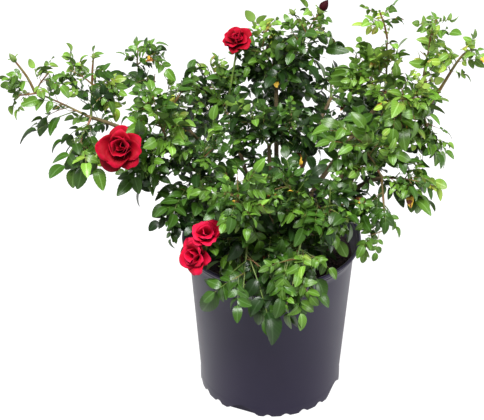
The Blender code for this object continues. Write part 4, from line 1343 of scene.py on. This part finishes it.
# %% Pot section
POT_HEIGHT = 274.0 * MM
RIM_R = 140.0 * MM
BASE_R = 114.0 * MM
NECK_R, NECK_HIGH = 129.2 * MM, 247.0 * MM
HEEL_HIGH = 24.5 * MM
WALL, FLOOR = 2.0 * MM, 2.5 * MM
WELL_R = 86.0 * MM
POT_SIDES = 160
ROLL_R = 3.0
ROLL_TURNS = (160, 130, 90, 50, 20, 0, -30)
# In mm in from the rim's edge and down from its top: the lip inside it, and the groove and bead outside.
LIP = ((7.4, 9.0), (5.8, 3.0))
GROOVE = ((1.6, 6.4), (4.6, 7.6), (5.4, 9.5), (4.9, 11.5), (5.6, 13.5), (8.6, 17.0))
# In mm in from the base's edge and up from the ground: the foot of the wall.
SKIRT = ((0.6, 20.0), (0.0, 17.0), (0.0, 1.0), (1.0, 0.0))


def inner_wall(height):
    """The pot's inner radius at a height."""
    return BASE_R + (NECK_R - BASE_R) * (height - HEEL_HIGH) / (NECK_HIGH - HEEL_HIGH) - WALL


def pot_section():
    """The pot's section, from the middle of its floor over the rolled rim to the middle underneath."""
    roll = [math.radians(turn) for turn in ROLL_TURNS]
    curl = [(ROLL_R * (1.0 - math.cos(a)), ROLL_R * (1.0 - math.sin(a))) for a in roll]
    section = [(0.0, FLOOR), (WELL_R, FLOOR)]
    section += [(inner_wall(height), height) for height in (HEEL_HIGH, NECK_HIGH)]
    section += [(RIM_R - into * MM, POT_HEIGHT - down * MM) for into, down in (*LIP, *curl, *GROOVE)]
    section += [(NECK_R, NECK_HIGH)] + [(BASE_R - into * MM, up * MM) for into, up in SKIRT]
    return section + [(0.0, 0.0)]


print("points in the pot's section:", len(pot_section()))

# %% Feet and drain holes
FOOT_REPEATS = 4
# Each gap between two feet: its bearing from the front, its half width in degrees, and its height in mm.
NOTCHES = ((-24.0, 15.0, 16.0), (-2.5, 4.0, 4.5), (12.0, 4.5, 5.0), (27.0, 4.5, 6.0), (43.0, 4.5, 6.0))
NOTCH_IN = 8.0 * MM
BELL, BELL_STEPS = 0.65, 12
DRAIN_R, DRAIN_AT, DRAIN_SIDES = 7.0 * MM, 72.0 * MM, 24
CUT_PAST = 10.0 * MM


def cutter(name, near, far):
    """A solid between two like outlines, outside the scene."""
    count = len(near)
    faces = [tuple(reversed(range(count))), tuple(range(count, 2 * count))]
    faces += [(k, (k + 1) % count, (k + 1) % count + count, k + count) for k in range(count)]
    return hidden_shape(name, near + far, faces)


def notch(angle, half, high):
    """The gap between two feet, bell-shaped so that the feet are rounded. The angle is from the front."""
    width = BASE_R * math.sin(math.radians(half))
    shares = [1.0 - 2.0 * i / BELL_STEPS for i in range(BELL_STEPS + 1)]
    bell = [(x, (0.5 + 0.5 * math.cos(math.pi * x)) ** BELL) for x in shares]
    outline = [(x * width, z * high) for x, z in [(-1.0, -0.5), (1.0, -0.5)] + bell]
    near, far = [[(x, -y, z) for x, z in outline] for y in (BASE_R - NOTCH_IN, BASE_R + NOTCH_IN)]
    made = cutter("notch", near, far)
    made.rotation_euler = (0.0, 0.0, math.radians(angle))
    return made


def drain(angle):
    """A round hole through the floor."""
    x, y = DRAIN_AT * math.cos(math.radians(angle)), DRAIN_AT * math.sin(math.radians(angle))
    ring = [(x + DRAIN_R * a, y + DRAIN_R * b) for a, b in circle(DRAIN_SIDES)]
    return cutter("drain", [(*spot, -CUT_PAST) for spot in ring], [(*spot, CUT_PAST) for spot in ring])


print("cuts in the pot:", FOOT_REPEATS * (len(NOTCHES) + 1))

# %% Pot, turned and cut
SHARP_FROM = math.radians(40)
POT_GLOSS, POT_SHEEN, POT_ROUGH = 0.22, 0.22, (0.34, 0.56)
MOULD_SIZE, MOULD_DEEP = 1.1 * MM, 0.04 * MM
DUST_SIZE, DUST_EDGE = 70.0 * MM, (0.35, 0.75)


def cut_pot(piece):
    """Takes the gaps between the feet and the drain holes out of the turned pot."""
    tools = bpy.data.collections.new("pot cutters")
    for turn in range(FOOT_REPEATS):
        quarter = 360.0 / FOOT_REPEATS * turn
        tools.objects.link(drain(quarter + 180.0 / FOOT_REPEATS))
        for angle, half, high in NOTCHES:
            tools.objects.link(notch(angle + quarter, half, high * MM))
    bpy.context.scene.collection.children.link(tools)
    cut = piece.modifiers.new("cut", "BOOLEAN")
    cut.operation, cut.operand_type, cut.collection, cut.solver = "DIFFERENCE", "COLLECTION", tools, "EXACT"
    graph = bpy.context.evaluated_depsgraph_get()
    piece.data = bpy.data.meshes.new_from_object(piece.evaluated_get(graph))
    piece.modifiers.clear()
    for tool in list(tools.objects):
        bpy.data.objects.remove(tool)
    bpy.data.collections.remove(tools)
    piece.data.shade_smooth()
    piece.data.set_sharp_from_angle(angle=SHARP_FROM)
    return piece


def pot_finish():
    """Black polypropylene, moulded: a soft satin skin with a violet cast, dusty in broad patches."""
    satin = {"Specular IOR Level": POT_GLOSS, "Sheen Weight": POT_SHEEN}
    made, tree, shader = new_finish("polypropylene, moulded, black", "1a1230", satin)
    dust = grain(tree, DUST_SIZE, 4.0)
    tone = two_tone(tree, dust, *DUST_EDGE, "191130", "221a36")
    skin(tree, shader, tone, grain(tree, MOULD_SIZE, 2.0), MOULD_DEEP, *POT_ROUGH, wear=dust)
    return made


pot = cut_pot(mesh_piece("nursery_pot", *turned(pot_section(), POT_SIDES), pot_finish()))
finish_piece(pot, "pot", "pot")

# %% [markdown]
# ## Potting mix
#
# Nursery mix is composted bark and peat: dark, damp and crumbly, with chips up to about a centimetre. A
# displaced plane alone would look like cloth. A gently uneven bed carries the big shapes, and a scatter of
# small lumps by the prickles' tree gives it its crumb.

# %% Potting mix
MIX_RINGS, MIX_SIDES = 26, 96
MIX_GAP = 0.35 * MM
LEVEL_TO = 30.0 * MM
# The unevenness of the top: lumps of two sizes, each with its height.
UNEVEN = ((22.0 * MM, 4.0 * MM), (6.0 * MM, 2.0 * MM))
FIBRE_EDGE, FIBRE_DEEP = (0.40, 0.65), 0.8 * MM
MIX_ROUGH = (0.90, 1.0)


def mix_bed(finish):
    """The filling of the pot, uneven on top and level at the root crown."""
    edge = inner_wall(MIX_TOP) - MIX_GAP
    section = [(0.0, MIX_TOP)] + [(edge * i / MIX_RINGS, MIX_TOP) for i in range(1, MIX_RINGS + 1)]
    section += [(inner_wall(HEEL_HIGH) - MIX_GAP, HEEL_HIGH)]
    section += [(WELL_R - MIX_GAP, FLOOR + MIX_GAP), (0.0, FLOOR + MIX_GAP)]
    verts, faces = turned(section, MIX_SIDES)
    for v in verts:
        if v.z == MIX_TOP and LEVEL_TO < math.hypot(v.x, v.y):
            v.z += sum(noise.noise(v / size) * high for size, high in UNEVEN)
    return mesh_piece("potting_mix_bed", verts, faces, finish)


def mix_finish(name, dark, light, size):
    """Composted bark, damp: near black, matt, with brown fibres a few millimetres long."""
    made, tree, shader = new_finish(name, dark)
    fibre = grain(tree, size, 5.0)
    skin(tree, shader, two_tone(tree, fibre, *FIBRE_EDGE, dark, light), fibre, FIBRE_DEEP, *MIX_ROUGH)
    return made


finish_piece(mix_bed(mix_finish("potting mix, damp", "241a1e", "3d2f2c", 3.0 * MM)), "mix", "potting_mix")

# %% Crumbs
CRUMB = 7.0 * MM
CRUMB_FLATS = (0.9, 0.5, 0.35)
CRUMB_ROUGH = (0.7, 1.15)
CRUMB_TILT = 0.6
CRUMBS_PER_M2 = 42000.0
TOP_SIDES = 48


def crumb_shape(name, seed, flat):
    """A lump of bark or peat about 1 across."""
    lump = bmesh.new()
    bmesh.ops.create_icosphere(lump, subdivisions=1, radius=0.5)
    rng = random.Random(seed)
    for vert in lump.verts:
        vert.co *= rng.uniform(*CRUMB_ROUGH)
        vert.co.z *= flat
    mesh = bpy.data.meshes.new(name)
    lump.to_mesh(mesh)
    lump.free()
    return bpy.data.objects.new(name, mesh)


crumb_shapes = [crumb_shape(f"crumb_{i}", i, flat) for i, flat in enumerate(CRUMB_FLATS)]
crumbs = scatter_tree("crumbs on the mix", crumb_shapes, CRUMB_TILT)
reach = inner_wall(MIX_TOP) - CRUMB
disc = [(reach * x, reach * y, MIX_TOP) for x, y in circle(TOP_SIDES)]
top = bpy.data.meshes.new("mix top")
top.from_pydata(disc, [], [tuple(range(TOP_SIDES))])
chips = mix_finish("bark chips, composted", "2b1f20", "4f3d34", 2.0 * MM)
values = {"Finish": chips, "Density": CRUMBS_PER_M2, "Seed": 9}
values.update({"Smallest": CRUMB / 4, "Largest": CRUMB})
finish_piece(grown_piece("mix_crumbs", top, crumbs, values), "mix")

# %% [markdown]
# ## One petal
#
# This rose is semi-double: some seventeen velvety petals in five rings, the outer ones wide, rolled back and
# ruffled, the inner ones cupped over the middle. Cloth simulation would leave that to chance. One function
# bends a flat grid into a petal by its cup, its roll and its ruffle instead, and a table says how each ring
# differs. Each petal is a thin closed shell, so it has a back as well.

# %% Petal shape
PETAL_THICK = 0.5 * MM
PETAL_ACROSS, PETAL_ALONG = 8, 8
PETAL_FOOT = 0.30
WIDEST_AT, ROLL_FROM = 0.62, 0.62
ROUND_END, POINTED_END = 0.30, 0.95
BOWED_EDGE = 0.15
LONG_CUP = 0.25
RUFFLES, FINE_RUFFLES, FINE_RUFFLE_HIGH = 4.0, 8.3, 0.35

# For each ring: petals, tilt in degrees from the way the flower faces, then in radii of the flower the
# length, width and foot height, then how far it is cupped, rolled back at its edge and ruffled.
Ring = namedtuple("Ring", "petals tilt long wide foot cup roll ruffle")
PETAL_RINGS = (
    Ring(5, 82.0, 1.04, 1.06, 0.06, 0.16, 0.20, 0.06),
    Ring(4, 56.0, 1.00, 1.06, 0.12, 0.38, 0.26, 0.05),
    Ring(3, 36.0, 0.86, 1.00, 0.18, 0.60, 0.14, 0.05),
    Ring(3, 20.0, 0.74, 0.90, 0.20, 0.90, 0.08, 0.04),
    Ring(2, 6.0, 0.60, 0.62, 0.22, 1.30, 0.02, 0.03),
)
SEPALS = Ring(5, 112.0, 0.62, 0.20, 0.0, 0.30, 0.10, 0.01)


def petal_point(ring, across, along, phase, pointed):
    """A point of a petal in radii of the flower: sideways, outwards along the petal, and up from it."""
    rise = min(along / WIDEST_AT, 1.0)
    half = ring.wide / 2 * (PETAL_FOOT + (1.0 - PETAL_FOOT) * math.sin(rise * math.pi / 2))
    past = max(along - WIDEST_AT, 0.0) / (1.0 - WIDEST_AT)
    half *= 1.0 - (POINTED_END if pointed else ROUND_END) * past**2
    reach = ring.long * along * (1.0 - BOWED_EDGE * across**2 * along)
    rolled = max(along - ROLL_FROM, 0.0) / (1.0 - ROLL_FROM)
    wave = math.sin(across * RUFFLES + phase)
    wave += FINE_RUFFLE_HIGH * math.sin(across * FINE_RUFFLES - 2.0 * phase)
    cupped = ring.cup * (half * across**2 + LONG_CUP * ring.long * along**2)
    lift = cupped - ring.roll * ring.long * rolled**2 + ring.ruffle * wave * along**3
    return Vector((across * half, reach, lift))


def closed_sheet(front, back, rows, columns):
    """Vertices and faces of a thin shell: a front grid, a back grid and the edge between them."""
    count = rows * columns
    corners = [row * columns + column for row in range(rows - 1) for column in range(columns - 1)]
    quads = [(a, a + 1, a + 1 + columns, a + columns) for a in corners]
    backs = [tuple(v + count for v in reversed(quad)) for quad in quads]
    rim = list(range(columns)) + [row * columns + columns - 1 for row in range(1, rows)]
    rim += [(rows - 1) * columns + column for column in range(columns - 2, -1, -1)]
    rim += [row * columns for row in range(rows - 2, 0, -1)]
    edges = [(b, a, a + count, b + count) for a, b in zip(rim, rim[1:] + rim[:1])]
    return front + back, quads + backs + edges


print("petals in a full flower:", sum(ring.petals for ring in PETAL_RINGS))

# %% Rings of petals
PETAL_WANDER = 0.22
TILT_WANDER = 18
PETAL_SIZES = (0.80, 1.12)
PETALS_OUT = 0.06


def petals_of(ring, centre, facing, radius, rng, pointed=False):
    """Every petal of a ring: vertices, faces, and for each vertex its place along and across the petal."""
    u, w = square_to(facing)
    turn = rng.uniform(0, 2 * math.pi)
    made = []
    for k in range(ring.petals):
        angle = turn + 2 * math.pi * (k + rng.uniform(-PETAL_WANDER, PETAL_WANDER)) / ring.petals
        lean = math.radians(ring.tilt + rng.uniform(-TILT_WANDER, TILT_WANDER))
        out = u * math.cos(angle) + w * math.sin(angle)
        along_way = facing * math.cos(lean) + out * math.sin(lean)
        up_way = facing * math.sin(lean) - out * math.cos(lean)
        side_way = along_way.cross(up_way)
        root = centre + facing * ring.foot * radius + out * PETALS_OUT * radius
        phase, size = rng.uniform(0, 2 * math.pi), radius * rng.uniform(*PETAL_SIZES)
        rows = [i / PETAL_ALONG for i in range(PETAL_ALONG + 1)]
        chart = [(j / PETAL_ACROSS, along) for along in rows for j in range(PETAL_ACROSS + 1)]
        front = []
        for across, along in chart:
            x, y, z = petal_point(ring, 2.0 * across - 1.0, along, phase, pointed) * size
            front.append(root + side_way * x + along_way * y + up_way * z)
        back = [point - up_way * PETAL_THICK for point in front]
        made.append((*closed_sheet(front, back, PETAL_ALONG + 1, PETAL_ACROSS + 1), chart + chart))
    return made


def sheets_piece(name, sheets, finish):
    """One smooth piece from many thin shells, with their map."""
    verts, faces, chart = [], [], []
    for points, sides, places in sheets:
        faces += [tuple(v + len(verts) for v in side) for side in sides]
        verts += points
        chart += places
    piece = mesh_piece(name, verts, faces, finish)
    layer = piece.data.uv_layers.new(name="petal_map")
    for loop in piece.data.loops:
        layer.data[loop.index].uv = chart[loop.vertex_index]
    return piece


print("rings of petals:", len(PETAL_RINGS))

# %% [markdown]
# ## Petal and sepal finishes
#
# A rose petal's skin is covered in tiny cones that trap light, so it looks like velvet with almost no gloss.
# A plain red would look like paper. The colour runs along each petal's own map, from painted shade that
# deepens its foot to a painted highlight that brightens its edge; a mottle a few millimetres wide breaks it
# up, and fine lengthwise veins give the relief.

# %% Petal finishes
PETAL_MOTTLE = 8.0 * MM
VEIN_STREAKS = (26.0, 2.0, 1.0)
PETAL_SHEEN, PETAL_SHEEN_ROUGH = 0.02, 0.4
PETAL_GLOSS, PETAL_ROUGH = 0.08, (0.54, 0.66)
STREAK_DEEP = 0.2 * MM
# Where the painted shade at the foot fades out and the painted highlight at the edge comes in, by the
# share of the petal's length plus half the mottle.
SHADED_FOOT_FADE, LIT_EDGE_FADE = (0.35, 0.95), (1.05, 1.30)


def petal_finish(name, base, middle, edge):
    """Velvet skin with fine lengthwise veins, darkened at its foot by painted shade and brightened to its
    edge by a painted highlight.
    """
    velvet = {"Sheen Weight": PETAL_SHEEN, "Sheen Roughness": PETAL_SHEEN_ROUGH}
    made, tree, shader = new_finish(name, middle, {**velvet, "Specular IOR Level": PETAL_GLOSS})
    chart = add(tree, "ShaderNodeUVMap", uv_map="petal_map")
    along = add(tree, "ShaderNodeSeparateXYZ", {0: chart}, out=1)
    mottled = {0: grain(tree, PETAL_MOTTLE, 3.0), 1: 0.5, 2: along}
    mixed = add(tree, "ShaderNodeMath", mottled, operation="MULTIPLY_ADD")
    # Painted shade deepens each petal's foot, and a painted highlight brightens its edge.
    deep = two_tone(tree, mixed, *SHADED_FOOT_FADE, base, middle)
    streaks = add(tree, "ShaderNodeMapping", {"Vector": chart, "Scale": VEIN_STREAKS})
    vein = add(tree, "ShaderNodeTexNoise", {"Vector": streaks, "Scale": 1.0, "Detail": 2.0})
    skin(tree, shader, two_tone(tree, mixed, *LIT_EDGE_FADE, deep, edge), vein, STREAK_DEEP, *PETAL_ROUGH)
    return made


# Fresh petals are a deep crimson. The low flower has the same crimson painted lighter and pinker, as painted
# light on a flower that sits in shade. Furled petals show only their dark backs. Sepals are a downy green,
# darker at the foot and paler at the edge by the same painted shade and painted highlight.
crimson = petal_finish("rose petal, crimson velvet", "46000a", "820012", "a8062a")
painted_lighter = petal_finish("rose petal, ageing crimson", "720416", "b8062a", "d41c48")
maroon = petal_finish("rose petal, furled maroon", "2c0309", "560713", "8a1024")
downy = petal_finish("rose sepal, downy green", "4c6a2a", "5f8434", "86a04c")
print("petal finishes:", crimson.name, "and", painted_lighter.name)

# %% Flowers
# The heads of each flower: how many of the rings it still has, counted from the outermost, how far open it
# is, the share of the flower's full radius, its petals' finish, how far it sits sideways and up from the
# end of the stem in mm, and the bearing and climb of the way that it faces.
Head = namedtuple("Head", "rings opened share finish sideways up bearing climb")
HEADS = {
    "bloom_left": [Head(5, 0.92, 0.92, crimson, 0, 0, 263, 37)],
    "bloom_top": [Head(5, 0.74, 0.92, crimson, 0, 0, 240, 62)],
    # The low flower's heads take the crimson painted lighter, as painted light, since this flower sits in
    # shade.
    "bloom_low": [
        Head(3, 0.66, 0.76, painted_lighter, -2, 16, 262, 58),
        Head(3, 0.64, 0.80, painted_lighter, -12, -14, 228, 18),
    ],
}
FLOWER_STEM_R = 1.6 * MM
# The hip under a flower, in mm: how far along the way it faces, and its radius.
HIP = ((-9.0, 1.3), (-5.0, 2.9), (0.0, 3.6), (3.0, 2.6))


def turned_run(start, way, unit, profile):
    """A short straight path and its radii, for a rounded body turned by the stalk tree."""
    return [start + way * at * unit for at, _ in profile], [r * unit for _, r in profile]


flower_runs, sepal_sheets = [], []
for bloom in BLOOMS:
    rng = random.Random(bloom.name)
    path, sheets = stems[bloom.name], []
    for head in HEADS[bloom.name]:
        facing, radius = way_of(head.bearing, head.climb), bloom.radius * head.share * MM
        centre = path[-1] + Vector((head.sideways, 0.0, head.up)) * MM
        for ring in PETAL_RINGS[:head.rings]:
            sheets += petals_of(ring._replace(tilt=ring.tilt * head.opened), centre, facing, radius, rng)
        sepal_sheets += petals_of(SEPALS, centre, facing, radius, rng, pointed=True)
        flower_runs.append((path[:-1] + [centre], [FLOWER_STEM_R] * len(path)))
        flower_runs.append(turned_run(centre, facing, MM, HIP))
    finish_piece(sheets_piece(f"petals_{bloom.name}", sheets, head.finish), "petals", bloom.name)

# %% [markdown]
# ## Buds
#
# Buds stand on the tips of the strongest shoots, above the leaves. A bud is a small urn wrapped in sepals,
# and one is about to open and shows dark furled petals. They could be modelled like the flowers, but at
# their size the same tree that makes the stalks turns them along short paths.

# %% Buds
# A bud's outline from its foot to its tip: the share of its length, and its radius in lengths.
BUD_SHAPE = ((0.0, 0.10), (0.12, 0.24), (0.35, 0.30), (0.60, 0.25), (0.82, 0.14), (1.0, 0.03))
FURLED_WIDER = 1.15
CLOSED_SEPALS = SEPALS._replace(tilt=24.0, roll=0.35)
SEPALS_LONGER = 1.1
SEPAL_SEED = 3

furled_runs = []
for shoot, (end, way) in zip(SHOOTS, shoot_ends):
    if not shoot.bud:
        continue
    length = shoot.bud * MM
    flower_runs.append(turned_run(end, way, length, BUD_SHAPE))
    if shoot.furled:
        wider = [(at + 1.0 - shoot.furled, r * FURLED_WIDER) for at, r in BUD_SHAPE]
        furled_runs.append(turned_run(end, way, length, wider))
    rng = random.Random(SEPAL_SEED)
    sepal_sheets += petals_of(CLOSED_SEPALS, end, way, length * SEPALS_LONGER, rng, pointed=True)

finish_piece(sheets_piece("sepals", sepal_sheets, downy), "leaves")
values = {"Finish": young, "Sides": 8, "Step": 2.0 * MM}
finish_piece(grown_piece("flower_stems", path_mesh("flower stem paths", flower_runs), STALKS, values), "bark")
values = {"Finish": maroon, "Sides": 10, "Step": 1.5 * MM}
furled = grown_piece("furled_petals", path_mesh("furled petal paths", furled_runs), STALKS, values)
finish_piece(furled, "petals")

# %% [markdown]
# ## Floor, light and camera
#
# The plant stands on a plain pale floor in soft studio light. A sun would leave hard shadows inside the
# crown. A bright sky all round opens it up instead, a large lamp above and in front puts the gloss on the
# leaves, and two weak ones lift the sides.

# %% Floor
FLOOR_SIZE = 200.0
PAPER, PAPER_SHADED = "5c5c5c", "5a5a5a"
PAPER_GRAIN, PAPER_DEEP, PAPER_ROUGH = 25.0 * MM, 0.02 * MM, (0.88, 0.92)

half = FLOOR_SIZE / 2
corners = [(-half, -half, 0.0), (half, -half, 0.0), (half, half, 0.0), (-half, half, 0.0)]
# Studio paper, lit from behind: matt, even and nearly white. It throws no light back on the leaves.
paper, paper_tree, paper_shader = new_finish(
    "studio paper, white", PAPER, {"Emission Color": linear("ffffff"), "Emission Strength": 1.0}
)
fibre = grain(paper_tree, PAPER_GRAIN, 2.0)
tone = two_tone(paper_tree, fibre, 0.0, 1.0, PAPER_SHADED, PAPER)
skin(paper_tree, paper_shader, tone, fibre, PAPER_DEEP, *PAPER_ROUGH)
floor = mesh_piece("studio_floor", corners, [(0, 1, 2, 3)], paper)
floor.visible_diffuse = False
print("floor:", FLOOR_SIZE, "m wide")

# %% Sky
# The sky is weakest below the first height and strongest above the second, from -1 underfoot to 1 overhead.
SKY_BELOW, SKY_ABOVE = 0.30, 0.62
SKY_FROM, SKY_TO = -0.5, 0.7

world = bpy.data.worlds.new("studio light")
world.use_nodes = True
sky_tree = world.node_tree
way = add(sky_tree, "ShaderNodeTexCoord", out="Generated")
height = add(sky_tree, "ShaderNodeSeparateXYZ", {0: way}, out=2)
rise = {"Value": height, "From Min": SKY_FROM, "From Max": SKY_TO}
rise.update({"To Min": SKY_BELOW, "To Max": SKY_ABOVE})
glow = add(sky_tree, "ShaderNodeMapRange", rise)
wire(sky_tree, sky_tree.nodes["Background"], {"Strength": glow, "Color": linear("ffffff")})
bpy.context.scene.world = world
print("sky strength from below to above:", SKY_BELOW, "to", SKY_ABOVE)

# %% Lamps
AIM = Vector((-0.046, 0.0, 0.3195))


def softbox(name, place, size, power):
    """A square studio lamp aimed at the middle of the plant."""
    lamp = bpy.data.lights.new(name, "AREA")
    lamp.size = size
    lamp.energy = power
    made = bpy.data.objects.new(name, lamp)
    made.location = place
    made.rotation_euler = (AIM - Vector(place)).to_track_quat("-Z", "Y").to_euler()
    bpy.context.scene.collection.objects.link(made)


softbox("overhead lamp", (-0.4, -0.9, 2.8), 1.1, 135.0)
softbox("left strip", (-2.0, -0.5, 0.9), 0.8, 5.0)
softbox("right strip", (2.0, -0.5, 0.9), 0.8, 26.0)
print("lamps aim at", [round(c, 3) for c in AIM])

# %% Camera
ELEVATION = math.radians(32.8)
DISTANCE = 2.56
LENS, SENSOR = 123.0, 36.0

camera = bpy.data.objects.new("camera", bpy.data.cameras.new("camera"))
camera.data.sensor_width = SENSOR
camera.data.lens = LENS
camera.location = AIM + Vector((0.0, -math.cos(ELEVATION), math.sin(ELEVATION))) * DISTANCE
camera.rotation_euler = (AIM - camera.location).to_track_quat("-Z", "Y").to_euler()
bpy.context.scene.collection.objects.link(camera)
bpy.context.scene.camera = camera
bpy.context.scene.view_settings.view_transform = "Standard"
print("camera at", [round(c, 2) for c in camera.location])
